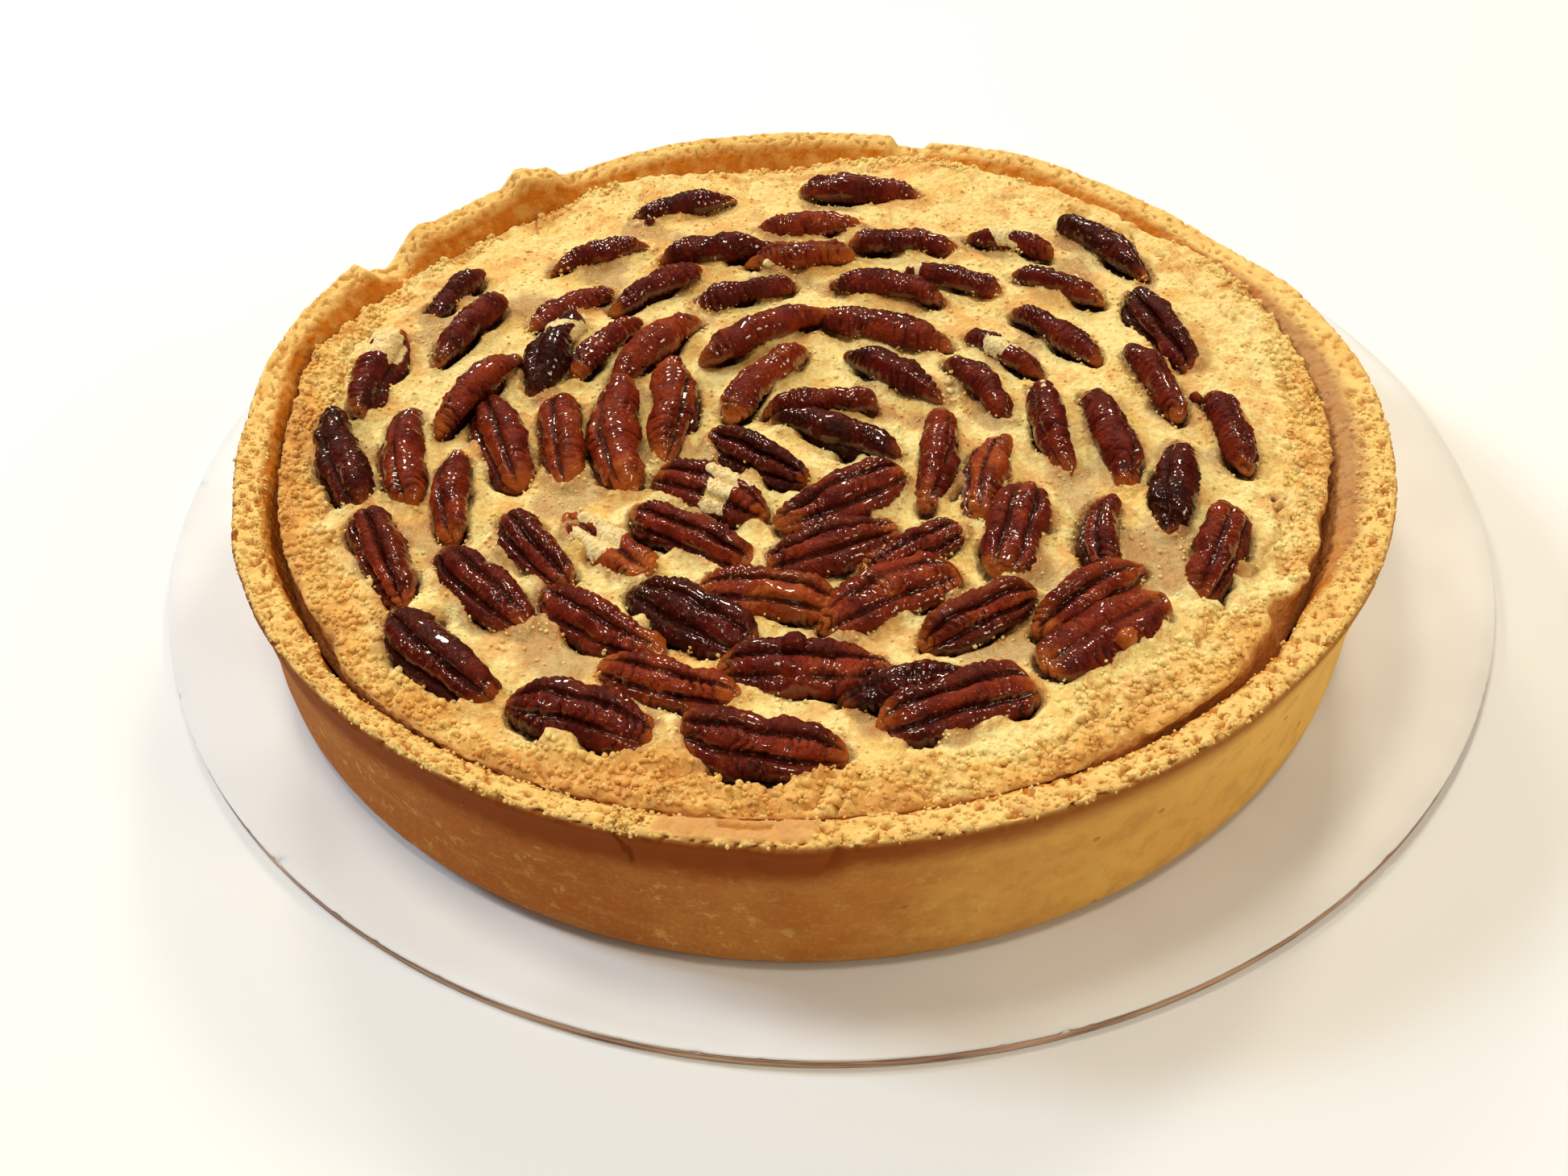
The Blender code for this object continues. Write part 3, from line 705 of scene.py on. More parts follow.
RING_3 = [
    (4, 38.6, -65, 26, 60, "", 3),
    (19, 47.5, -50, 23, 45, "", 3),
    (63, 46.0, -18, 29, 60, "", 3),
    (107, 44.5, 18, 27, 55, "", 3),
    (148, 38.8, 55, 33, 70, "d", 5),
    (153, 48.8, 56, 25, 60, "", 4),
    (191, 51.8, -83, 32, -50, "", 5),
    (195.4, 40.8, -85, 38, -60, "d", 5),
    (241, 48.2, -35, 30, -45, "", 4),
    (275, 47.0, 21, 29, -10, "c", 4),
    (322.6, 45.3, 73, 26, 40, "e", 6),
]
RING_4 = [
    (21, 61.9, -52, 27, 60, "", 3),
    (51, 57.8, -23, 26, 50, "", 3),
    (67, 67.0, -10, 27, 45, "", 3),
    (89, 57.0, 6, 27, 29, "k", 6),
    (107, 62.9, 5, 30, 60, "k", 2),
    (126, 56.4, 40, 27, 60, "", 3),
    (159.5, 59.0, 78, 33, 55, "f", 0),
    (188.8, 64.3, -72, 33, -40, "g", 4),
    (228, 58.6, -46, 26, 170, "", 6),
    (262, 60.4, -13, 29, -20, "c", 6),
    (283, 62.5, 27, 31, -15, "c", 5),
    (292.4, 52.0, 32, 25, -30, "c", 4),
    (313, 58.4, 71, 29, -10, "e", 4),
    (346, 64.9, -85, 33, 65, "", 3),
    (347, 52.4, -87, 31, -80, "", 3),
]
RING_5 = [
    (2, 76.1, -78, 27, 50, "", 3),
    (16, 83.8, -76, 32, -50, "", 2),
    (34, 73.1, -36, 24, 40, "", 3),
    (49, 78.7, -24, 22, 50, "", 3),
    (87, 71.2, 0, 27, 60, "", 5),
    (128, 76.6, 24, 26, 70, "", 3),
    (143.4, 65.6, 39, 24, 50, "f", 4),
    (158, 81.5, 64, 29, 60, "", 3),
    (175.8, 70.4, 61, 31, 70, "g", 5),
    (190.7, 83.9, -82, 32, -50, "", 4),
    (201, 76.6, -84, 28, -60, "", 4),
    (220, 69.7, -56, 27, -30, "", 3),
    (222, 83.7, -50, 30, -15, "", 3),
    (238.8, 77.3, -38, 30, -35, "", 4),
    (250.4, 67.9, -37, 30, -25, "c", 1),
    (268.3, 79.2, -3, 32, -15, "i", 4),
    (294.4, 73.2, 30, 27, -35, "", 5),
    (309, 81.2, 36, 29, -40, "j", 5),
    (320.4, 72.4, 78, 24, 50, "j", 4),
    (336, 79.4, 74, 30, 60, "", 1),
]
RING_6 = [
    (38, 94.6, -58, 31, 50, "", 1),
    (79, 90.6, -10, 32, 35, "", 3),
    (108, 89.5, 18, 28, 50, "", 2),
    (149, 94.8, 64, 24, 60, "", 2),
    (171, 94.0, 81, 31, 120, "", 3),
    (189, 97.0, -70, 35, -60, "", 1),
    (209, 94.1, -67, 31, -30, "", 4),
    (228, 101.0, -47, 33, -50, "", 2),
    (246, 99.6, -21, 30, -20, "", 3),
    (252, 86.4, -21, 27, -30, "", 5),
    (264, 98.8, -15, 30, -25, "", 4),
    (280, 85.4, 15, 24, 25, "i", 1),
    (284.5, 93.6, 17, 30, -20, "i", 4),
    (304.5, 90.0, 33, 30, 175, "j", 4),
    (326, 92.7, 64, 30, -35, "", 4),
    (350, 89.2, -86, 26, 50, "", 3),
]
RINGS = [RING_1, RING_2, RING_3, RING_4, RING_5, RING_6]

# The halves whose skin is rubbed off in part, by ring and number, and where along them
BARE = {
    (4, 9): (-0.72, 0.05),
    (6, 5): (0.25, 0.85),
    (4, 2): (-1.0, -0.7),
    (3, 2): (-0.25, 0.1),
    (4, 15): (-0.95, -0.75),
    (5, 4): (-0.3, 0.0),
    (2, 5): (0.1, 0.4),
    (4, 7): (0.3, 0.5),
}

SKIN_DARK = (0.028, 0.003, 0.0015)
SKIN_RED = (0.105, 0.007, 0.003)
SKIN_BROWN = (0.24, 0.026, 0.005)
SKIN_AMBER = (0.46, 0.11, 0.014)
SKIN_FLECK = (0.55, 0.25, 0.08)
NUT_FLESH = (0.82, 0.65, 0.31)


def flat_spot(bearing, distance):
    """The point at a bearing in degrees and a distance in millimetres from the tart's middle."""
    turn = math.radians(bearing)
    return distance * MM * np.array([math.cos(turn), math.sin(turn)])


def lump(x, y, size, height, seed):
    """A smooth uneven rise and fall of the given size."""
    return height * noise.noise(Vector((x / size, y / size, seed)))


def filling_height(x, y):
    """The filling's top above the case's underside, before the pecans are pressed in."""
    bearing = math.atan2(y, x)
    edge_radius = by_bearing(SEAM, bearing, 2) * MM
    edge_share = smooth_step(FLAT_RADIUS, edge_radius, math.hypot(x, y))
    level = FILLING_LEVEL + (by_bearing(SEAM, bearing) * MM - FILLING_LEVEL) * edge_share
    return level + sum(lump(x, y, size, height, seed) for size, height, seed in FILLING_LUMPS)


def pecan_place(bearing, distance, heading, roll):
    """Where a pecan half lies: turned to its heading, rolled and pressed into the filling."""
    x, y = flat_spot(bearing, distance)
    height = filling_height(x, y) + PECAN_PROUD
    place = Matrix.Translation(TART_OFFSET + Vector((x, y, height)))
    turn = Matrix.Rotation(math.radians(heading), 4, "Z")
    tip = Matrix.Rotation(math.radians(-roll), 4, "X")
    return place @ turn @ tip


def whole_section(half):
    """Both halves of a section, from the listed left one."""
    half = np.array(half)
    return np.concatenate([half, half[-2:0:-1] * (-1, 1)])


def section_at(turns, corners):
    """Points of a pecan's smooth closed section, with turns from 0 to 1 round it."""
    steps = (turns % 1.0) * len(corners)
    index = steps.astype(int)
    t = (steps - index)[..., None]
    a, b, c, d = (corners[(index + step) % len(corners)] for step in (-1, 0, 1, 2))
    return b + 0.5 * t * (c - a + t * (2 * a - 5 * b + 4 * c - d + t * (3 * b - a - 3 * c + d)))


def wander(shares, chance, low, high, count=7):
    """A number that drifts along the nut between a low and a high one."""
    return np.interp(shares, np.linspace(-1, 1, count), chance.uniform(low, high, count))[:, None]


def pecan_half(length, seed, roll):
    """One pecan half with its long axis on X and its flat side down, and its points' traits."""
    chance = np.random.default_rng(int(seed * 10))
    share = PECAN_ON_EDGE_WIDTH if 30 <= abs(roll) <= 150 else PECAN_WIDTH
    width = min(share * length, PECAN_MOST_WIDE) * chance.uniform(0.92, 1.04)
    thickness = PECAN_THICKNESS * length * chance.uniform(0.95, 1.08)
    shares = np.linspace(-1, 1, PECAN_ALONG + 1)[1:-1]
    shares = 0.5 * shares + 0.5 * np.sin(shares * np.pi / 2)
    blunt = np.where(shares < 0, *chance.uniform(*PECAN_BLUNT, 2))
    taper = np.maximum(0.0, 1 - np.abs(shares) ** blunt)[:, None] ** PECAN_FULL
    bow = PECAN_ARCH * length * (shares**2 - PECAN_BOW_MIDDLE)[:, None]
    bend = chance.uniform(-0.05, 0.05) * length * (shares**2 - PECAN_BOW_MIDDLE)[:, None]
    turns = np.arange(PECAN_AROUND)[None, :] / PECAN_AROUND
    closer = PECAN_CLOSER if abs(roll) < 100 else -PECAN_CLOSER
    turns = turns - closer * np.sin(2 * np.pi * turns) / (2 * np.pi)
    turns = turns + wander(shares, chance, -0.02, 0.02)
    grooved = section_at(turns, whole_section(PECAN_GROOVED))
    plain = section_at(turns, whole_section(PECAN_PLAIN))
    ends = np.clip((1 - np.abs(shares)) * 4, 0, 1)[:, None]
    first, second = chance.uniform(0.35 if abs(roll) < 45 else 0.1, 1.1, 2) + 0.25
    left = np.clip(wander(shares, chance, -0.4, 0.4, 9) + first, 0, 1.2)
    right = np.clip(wander(shares, chance, -0.4, 0.4, 9) + second, 0, 1.2)
    on_left = np.clip(0.5 - grooved[..., 0] * 8, 0, 1)
    depth = (left * on_left + right * (1 - on_left)) * ends
    section = plain + (grooved - plain) * depth[..., None]
    a = np.repeat(shares[:, None], PECAN_AROUND, 1)
    x = a * length / 2
    y = section[..., 0] * taper * width * (1 + wander(shares, chance, -0.07, 0.07)) + bend
    z = section[..., 1] * taper * thickness * (1 + wander(shares, chance, -0.07, 0.07)) - bow
    points = np.stack([x, y, z], axis=2).reshape(-1, 3)
    out = np.stack([0.45 * a * np.abs(a), section[..., 0] * 1.1, section[..., 1]], 2)
    out = (out / np.linalg.norm(out, axis=2, keepdims=True)).reshape(-1, 3)
    # How deep each point lies in a groove, where the finish paints shade.
    groove = (np.linalg.norm(plain - section, axis=2) * 8).reshape(-1)
    lumps = 1.2 * field(points, 8 * MM, seed) + 0.65 * field(points, 3.4 * MM, seed + 40)
    warp = 1.0 * field(points, 7 * MM, seed + 80) + 0.5 * field(points, 2.6 * MM, seed + 90)
    spread = points[:, 0] + 0.5 * np.abs(points[:, 1])
    fold = np.abs(np.sin(np.pi * (spread / WRINKLE_SPACING + warp))) ** 0.7
    strength = np.clip(0.75 + 1.4 * field(points, 4 * MM, seed + 120), 0.1, 1.5)
    ease = np.repeat(np.minimum(1, taper * 1.5), PECAN_AROUND, 1).reshape(-1)
    blister = np.clip(field(points, 1.7 * MM, seed + 200) - 0.2, 0, 1)
    shift = (lumps + 0.6 * blister) * MM + (fold - 0.75) * WRINKLE_HEIGHT * strength
    points = points + out * (shift * ease)[:, None]
    tip = length / 2
    drop = PECAN_ARCH * length * (1 - PECAN_BOW_MIDDLE)
    swing = bend[0, 0] / (shares[0] ** 2 - PECAN_BOW_MIDDLE) * (1 - PECAN_BOW_MIDDLE)
    points = np.concatenate([points, [(-tip, swing, -drop), (tip, swing, -drop)]])
    return points, {
        "crease": np.concatenate([groove, [0, 0]]),
        "fold": np.concatenate([1 - (1 - fold) * strength, [0.5, 0.5]]),
        "along": np.concatenate([a.reshape(-1), [-1, 1]]),
    }


def pecan_faces(first):
    """The faces of one half whose points start at the given number."""
    tip = first + (PECAN_ALONG - 1) * PECAN_AROUND
    numbers = np.arange(first, tip).reshape(-1, PECAN_AROUND).T
    return closed_band(numbers, top=tip + 1, bottom=tip)


groups = {}
for ring_number, ring in enumerate(RINGS, 1):
    for number, (bearing, distance, heading, long, roll, cluster, roast) in enumerate(ring, 1):
        name = "pecans_" + cluster if cluster else f"pecan_{ring_number}_{number:02d}"
        place = pecan_place(bearing, distance, heading, roll)
        local, traits = pecan_half(long * MM, ring_number * 31.7 + number * 7.3, roll)
        turn = np.array(place)
        world = local @ turn[:3, :3].T + turn[:3, 3]
        over = np.maximum(0, world[:, 2] - PECANS_HIGHEST)
        world[:, 2] -= over**2 / (over + 1.5 * MM)
        traits["roast"] = np.full(len(world), roast / 9)
        low, high = BARE.get((ring_number, number), (2.0, 2.0))
        rubbed = in_window(traits["along"] + 0.35 * field(world, 3.5 * MM, number), low, high, 0.1)
        rubbed *= np.clip((world[:, 2] - turn[2, 3]) / (1.2 * MM), 0, 1)
        # The lower flanks, where the nut sinks into the filling, get painted shade too, and syrup pools
        # there.
        traits["crease"] += 0.8 * np.clip((turn[2, 3] + 0.8 * MM - world[:, 2]) / (3 * MM), 0, 1)
        traits["bare"] = rubbed * (field(world, 6 * MM, number + 5) > -0.35)
        groups.setdefault(name, []).append((world, traits))

glazed, shade, sockets = new_finish("glazed_pecan", Specular_IOR_Level=0.12, Coat_Roughness=0.05)
patch = shade.noise(5 * MM, 4, 0.6)
speck = shade.noise(0.9 * MM, 3, 0.6)
along = shade.trait("along")
warm = shade.trait("roast") + patch * 0.9 - 0.45 + along * 0.1
stops = [(0.0, SKIN_DARK), (0.34, SKIN_RED), (0.62, SKIN_BROWN), (0.95, SKIN_AMBER)]
skin = shade.node("ValToRGB", {"stops": stops}, {0: warm})
tips = shade.maths("ABSOLUTE", along) + patch * 0.5 + shade.trait("roast") * 0.3
scuffed = (shade.noise(6 * MM, 3) + shade.trait("fold") * 0.15).between(0.5, 0.75)
flesh = (shade.trait("bare") + patch * 0.3 - 0.15).between(0.2, 0.45)
skin = layered(
    skin,
    (tips.between(1.05, 1.4) * 0.7, SKIN_AMBER),
    # Painted shade in the grooves and on the lower flanks.
    (shade.trait("crease").between(0.1, 0.9) * 0.8, SKIN_DARK),
    # Painted shade in the valleys of the fine wrinkles.
    ((1 - shade.trait("fold")).between(0.25, 0.9) * 0.75, SKIN_DARK),
    (speck.between(0.6, 0.72) * scuffed * 0.6, SKIN_FLECK),
    (flesh, (speck.between(0.45, 0.7) * 0.7).blend(NUT_FLESH, SKIN_FLECK)),
)
feed(skin, sockets["Base Color"])
wet = shade.noise(7 * MM, 3).between(0.46, 0.54) * (1 - flesh)
feed(wet, sockets["Coat Weight"])
feed(0.48 - wet * 0.2 + speck * 0.06, sockets["Roughness"])
wrinkles = shade.maths("SINE", along * 60 + shade.noise(5 * MM, 3) * 22)
ripples = shade.noise(1.8 * MM, 2) * 1.5 + speck * 1.0 + wrinkles * 0.22 * (1 - wet * 0.5)
feed(shade.bump(ripples, 0.35 * MM, 0.8), sockets["Normal"])
all_points = []
all_faces = []
for name, halves in groups.items():
    points = np.concatenate([world for world, _ in halves])
    traits = {key: np.concatenate([found[key] for _, found in halves]) for key in halves[0][1]}
    faces = []
    for index in range(len(halves)):
        faces += pecan_faces(index * len(halves[0][0]))
    add_piece(name + "_nut", points, faces, traits, glazed, "pecan", name)
    all_faces += [tuple(corner + len(all_points) for corner in face) for face in faces]
    all_points += [tuple(point) for point in points]
nuts = BVHTree.FromPolygons(all_points, all_faces)


# ---- The frangipane ----
# Almond cream baked in the case until it set to a crumbly sponge: pale and sandy in the middle,
# toasted and cracked towards its edge, where it shrank from the wall, and wet with syrup by
# the nuts. It comes after them here because it closes round them.

FILLING_CELLS = 292  # across the disc
SHOULDER = 0.7 * MM  # of the filling's rounded edge
BED_START = 1.2 * MM  # how far into a nut's footing the filling still reaches
LIP_REACH = 2.6 * MM  # how far from a nut the filling is heaped against it
LIP_HEIGHT = 1.9 * MM
CREVICE_WIDTH = 1.4 * MM  # of the gap where it stands off a nut
CREVICE_DEPTH = 2.2 * MM
TOAST_WIDTH = 17 * MM  # of the browner ring at its edge
FLOUR_GRAINS = [(0.4, 2.8 * MM, 5.0), (0.45, 1.6 * MM, 8.0)]  # height (mm), size and seed
TORN_DEPTH = 1.8  # of the cracks in the ring, in millimetres
STAIN_AND_SHADE_WIDTH = 1.8 * MM  # of the darker line round a nut: syrup stain and painted shade where nut and sponge meet
# The sides below the edge: depth (mm) and how far the wall's crack still reaches there, from 1 to 0
SIDES = [(0.35, 1.0), (1.0, 1.0), (2.2, 0.9), (4.0, 0.7), (6.0, 0.4), (8.0, 0.0)]

# Where syrup has soaked in: bearing, distance from the tart's middle and reach (mm)
SYRUP_SPOTS = [
    (318, 86, 8),
    (325, 84, 8),
    (309, 68, 7),
    (331, 62, 8),
    (291, 82, 6),
    (297, 82, 6),
    (355, 66, 8),
    (211, 57, 8),
    (217, 79, 7),
    (148, 78, 9),
    (160, 84, 8),
    (238, 88, 10),
    (286, 90, 5),
    (9, 87, 7),
    (36, 80, 9),
    (346, 89, 6),
    (10, 26, 6),
    (130, 71, 7),
    (187, 68, 5),
    (98, 81, 6),
    (116, 85, 7),
]
# Where the edge is broken away from the wall: bearing, width (degrees) and depth (mm)
BITES = [
    (315.5, 2.0, 1.2),
    (322.0, 2.6, 2.4),
    (331.0, 2.0, 1.4),
    (337.0, 2.6, 2.2),
    (344.0, 1.6, 1.2),
]
# Small holes beside the nuts: bearing, distance, width and depth (mm)
HOLES = [
    (312.7, 44.0, 3.0, 4.5),
    (273.0, 80.6, 3.0, 3.0),
    (296.3, 18.6, 4.0, 3.0),
    (222.5, 94.0, 4.0, 2.5),
    (174.0, 103.0, 1.8, 1.5),
    (339.7, 98.4, 1.8, 1.6),
    (338.4, 100.4, 1.6, 1.4),
]

CREAM = (0.84, 0.58, 0.18)
CREAM_PALE = (0.88, 0.735, 0.31)
CREAM_TAN = (0.68, 0.33, 0.09)
TOASTED = (0.74, 0.38, 0.075)
BROWNED = (0.50, 0.155, 0.03)
SYRUP_WET = (0.40, 0.21, 0.08)
# Painted shade for the holes and deepest crevices beside the nuts
HOLE_SHADE = (0.07, 0.018, 0.006)


def grain_relief(points, size, seed):
    """Round grains of uneven height, from 0 between them to at most 1."""
    relief = []
    for point in points / size + seed:
        distances, centres = noise.voronoi(Vector(point))
        stature = 0.5 + 0.5 * noise.cell(centres[0] * 3.7 + Vector((seed, 0, 0)))
        dome = max(0.0, 1 - (distances[0] / 0.8) ** 2)
        relief.append(dome * (0.25 + 0.75 * stature))
    return np.array(relief)


def disc_share(a, b):
    """A point of the square from -1 to 1 moved to the round disc, as share of radius and bearing."""
    if a == 0 and b == 0:
        return 0.0, 0.0
    if abs(a) > abs(b):
        return abs(a), math.atan2(0, a) + math.pi / 4 * b / a
    return abs(b), math.copysign(math.pi / 2, b) - math.pi / 4 * a / b


turns = np.linspace(0, 2 * math.pi, 1441)
walls = np.array([wall_inside(turn, edge_height(turn)) for turn in turns])
cracks = np.array([by_bearing(SEAM, turn, 3) * MM for turn in turns])
ragged = np.array([ring_noise(turn, 26, 4.0) + 0.5 * ring_noise(turn, 70, 9.0) for turn in turns])
bitten = np.array([ring_noise(turn, 8, 14.0) for turn in turns])
edges = walls - cracks - TOUCH - (np.abs(ragged) * 1.3 + np.maximum(0, bitten) * 2.0) * MM
for bearing, width, deep in BITES:
    edges -= deep * MM * np.exp(-(((np.degrees(turns) - bearing) / width) ** 2))
tops = np.array([edge_height(turn) for turn in turns])

flat = []
reach = []
for row in range(FILLING_CELLS + 1):
    for column in range(FILLING_CELLS + 1):
        share, bearing = disc_share(2 * column / FILLING_CELLS - 1, 2 * row / FILLING_CELLS - 1)
        edge = np.interp(bearing % (2 * math.pi), turns, edges)
        flat.append((share * edge * math.cos(bearing), share * edge * math.sin(bearing)))
        reach.append((1 - share) * edge)
flat = np.array(flat)
reach = np.array(reach)
shuffle = np.random.default_rng(3).uniform(-0.26 * MM, 0.26 * MM, flat.shape)
flat += shuffle * (reach > 1.0 * MM)[:, None]
bearing = np.arctan2(flat[:, 1], flat[:, 0]) % (2 * math.pi)
level = np.array([filling_height(x, y) for x, y in flat])
top = np.interp(bearing, turns, tops)
inward = np.clip(reach / (7 * MM), 0, 1) ** 2
inward = inward * (3 - 2 * inward)
level = top + (level - top) * inward
level -= SHOULDER * np.clip(1 - reach / (1.6 * SHOULDER), 0, 1) ** 2
surface = np.column_stack([flat, level])
broken = np.clip(1 - reach / TOAST_WIDTH + 0.55 * field(surface, 11 * MM, 21.0), 0, 1)
# The ring is as broken all the way round, but paler at the back and at the right.
toast = broken * (1 - 0.55 * np.clip((flat[:, 1] - 10 * MM) / (60 * MM), 0, 1))
toast *= 1 - 0.35 * np.clip((flat[:, 0] - 30 * MM) / (60 * MM), 0, 1)
crumb = sum(high * grain_relief(surface, size, seed) for high, size, seed in FLOUR_GRAINS)
crumb += 0.25 * crumble(surface, 3.6 * MM, 8.0) - 0.3
coarse = field(surface, 5 * MM, 31.0) + 0.6 * field(surface, 2.4 * MM, 33.0)
fissure = np.clip(1 - np.abs(field(surface, 13 * MM, 51.0)) / 0.05, 0, 1)
fissure *= np.clip(1.2 - reach / (14 * MM), 0, 1) * (field(surface, 20 * MM, 55.0) > -0.1)
ease = np.clip(reach / (1.0 * MM), 0.25, 1)
drift = 8 * MM + 3.5 * MM * field(surface, 26 * MM, 57.0)
parting = np.clip(1 - np.abs(reach - drift) / (1.1 * MM), 0, 1) * (field(surface, 34 * MM, 58.0) > 0.02)
fissure = np.maximum(fissure, parting)
relief = crumb * (0.5 + 0.8 * broken) + coarse * (0.3 + 1.4 * broken) - TORN_DEPTH * fissure
level = level + relief * MM * ease
gaps = np.zeros(len(flat))
crevices = np.zeros(len(flat))
contacts = []
mixed = field(surface, 9 * MM, 61.0)
for number, (x, y) in enumerate(flat):
    spot = Vector((x, y, level[number])) + TART_OFFSET
    near, _, _, gap = nuts.find_nearest(spot, 8 * MM)
    under, _, _, _ = nuts.ray_cast(Vector((spot.x, spot.y, 0.0)), Vector((0, 0, 1)))
    depth = -1.0 if under is None else spot.z - under.z
    gap = 8 * MM if near is None else gap if depth < 0 else -gap
    gaps[number] = gap
    heaped = min(1.0, max(0.0, 0.5 + 2.5 * mixed[number]))
    level[number] += LIP_HEIGHT * heaped * min(1.0, max(0.0, 1 - gap / LIP_REACH)) ** 1.5
    crevices[number] = (1 - heaped) * min(1.0, max(0.0, 1 - gap / CREVICE_WIDTH))
    level[number] -= CREVICE_DEPTH * crevices[number]
    level[number] -= max(0.0, depth - BED_START)
    if 0 < gap < 0.9 * MM and depth < 0 and reach[number] > 1.0 * MM and heaped > 0.3:
        contacts.append((near, number))


def away_from(bearing, distance, spread):
    """How far each point of the top is from a spot, in shares of the spot's reach."""
    return np.linalg.norm(flat - flat_spot(bearing, distance), axis=1) / (spread * MM)


wetness = np.clip(0.3 - gaps / (5 * MM) + 2.0 * field(surface, 11 * MM, 71.0), 0, 1)
for spot in SYRUP_SPOTS:
    wetness += 1.1 * np.exp(-(away_from(*spot) ** 2)) * (0.8 + 0.8 * mixed)
wetness = np.clip(wetness, 0, 1) * np.clip(reach / (9 * MM) - 0.4, 0, 1)
sunk = np.zeros(len(flat))
for spot_bearing, distance, width, deep in HOLES:
    hollow = np.clip(1.5 - away_from(spot_bearing, distance, width / 2), 0, 1)
    sunk = np.maximum(sunk, 2 * hollow)
    level -= deep * MM * hollow * (gaps > 0)
# The line round each nut is darker: syrup stain and painted shade where the nut meets the sponge.
stain_and_shade = 0.9 * np.clip(1 - gaps / STAIN_AND_SHADE_WIDTH, 0, 1) * (0.6 + mixed)
# Where the sponge is darker: browner crumb low between its grains and in its cracks, with painted shade
# there, and painted shade in the crevices and holes beside the nuts and along the stained line round
# them.
pore = -0.15 - crumb * 1.7 + 0.7 * fissure + 1.5 * crevices + sunk + stain_and_shade

grid = np.arange(len(flat)).reshape(FILLING_CELLS + 1, -1)
quads = [grid[:-1, :-1], grid[:-1, 1:], grid[1:, 1:], grid[1:, :-1]]
faces = np.stack(quads, axis=2).reshape(-1, 4).tolist()
loop = np.concatenate([grid[0], grid[1:, -1], grid[-1, -2::-1], grid[-2:0:-1, 0]])
points = [Vector((x, y, z)) for (x, y), z in zip(flat, level)]
sides = [loop]
for depth, share in SIDES + [(None, 0.0)]:
    sides.append(np.arange(len(points), len(points) + len(loop)))
    for corner in loop:
        turn = bearing[corner]
        height = CASE_FLOOR + TOUCH
        if depth is not None:
            height = np.interp(turn, turns, tops) - SHOULDER - depth * MM
        radius = wall_inside(turn, height) - TOUCH - np.interp(turn, turns, cracks) * share
        if depth is not None:
            radius -= abs(ring_noise(turn, 30, depth * 0.5)) * 1.1 * MM * min(1.0, share + 0.3)
            radius = min(radius, math.hypot(points[corner].x, points[corner].y) + depth * MM * 0.6)
        points.append(Vector((radius * math.cos(turn), radius * math.sin(turn), height)))
points.append(Vector((0, 0, CASE_FLOOR + TOUCH)))
faces += closed_band(np.array(sides).T[::-1], top=len(points) - 1)
filling_points = np.array(points) + TART_OFFSET
top_traits = {"toast": toast, "wet": wetness, "pore": np.clip(pore, 0, 2), "rise": coarse}
# The sides down the gap are browned and darkened further as painted shade.
side_traits = {"toast": 1.0, "wet": 0.0, "pore": 0.7, "rise": 0.0}
side_count = len(points) - len(flat)
traits = {
    trait: np.append(top_traits[trait], np.full(side_count, value))
    for trait, value in side_traits.items()
}

sponge, shade, sockets = new_finish(
    "baked_frangipane",
    Specular_IOR_Level=0.35,
    Subsurface_Weight=0.4,
    Subsurface_Radius=(1.0, 0.62, 0.32),
    Subsurface_Scale=0.9 * MM,
)
cloud = shade.noise(14 * MM, 4, 0.6)
grain = shade.noise(1.6 * MM, 3, 0.6)
backward = shade.axis(1).between(-60, 90)
tanned = shade.noise(9 * MM, 4, 0.6).between(0.47, 0.63)
sandy = shade.noise(1.1 * MM, 3, 0.55)
baked = (shade.trait("toast") + cloud * 0.5 + shade.trait("rise") * 0.12 - 0.25).between(0.25, 0.85)
wet = (shade.trait("wet") + shade.noise(3 * MM, 3) * 0.5 - 0.25).between(0.35, 0.8)
body = layered(
    CREAM,
    (cloud.between(0.34, 0.52), CREAM_PALE),
    (tanned * (0.7 + backward * 0.15), CREAM_TAN),
    (backward * 0.25, TOASTED),
    (grain.between(0.45, 0.75) * 0.35, TOASTED),
    (baked * 0.8, TOASTED),
    ((shade.trait("toast") + grain * 0.6).between(0.95, 1.45) * 0.5, BROWNED),
    (wet * (0.35 + grain * 0.6), SYRUP_WET),
    # Painted shade and painted light on the fine grain: tanner where its bump is low, paler where it is
    # high.
    ((1 - sandy.between(0.36, 0.52)) * 0.45, CREAM_TAN),
    (sandy.between(0.53, 0.66) * 0.35 * (1 - wet), CREAM_PALE),
    # Painted shade over the browner crumb in the hollows, and darkest as painted shade in the holes and
    # crevices beside the nuts.
    (shade.trait("pore").between(0, 1) * 0.48, BROWNED),
    (shade.trait("pore").between(0.9, 1.7) * 0.85, HOLE_SHADE),
)
feed(body, sockets["Base Color"])
feed(0.85 - wet * 0.6, sockets["Roughness"])
sand = (sandy + grain * 0.5) * (1 - baked * 0.45)
feed(shade.bump(sand * (1 - shade.trait("loose")), 1.0 * MM, 0.8), sockets["Normal"])
add_piece("frangipane", filling_points, faces, traits, sponge, "filling", "filling")


# ---- Crumbs ----
# Loose crumbs of the sponge on the filling and against the nuts, where syrup holds them, small
# bits that broke off the nuts, and crumbs of pastry along the cut rim.

CRUMB_SEED = 5
CRUMBS_BESIDE_NUTS = 1200
CRUMBS_ON_OPEN_GROUND = 1500
CRUMBS_ON_THE_RING = 2400
CRUMBS_ON_NUTS = 3200
CRUMBS_ON_RIM = 2800
BROWN_ENOUGH = 0.35  # of the toast where the coarser crumbs lie
CLIMB = 1.5 * MM  # how far up a nut's side crumbs cling
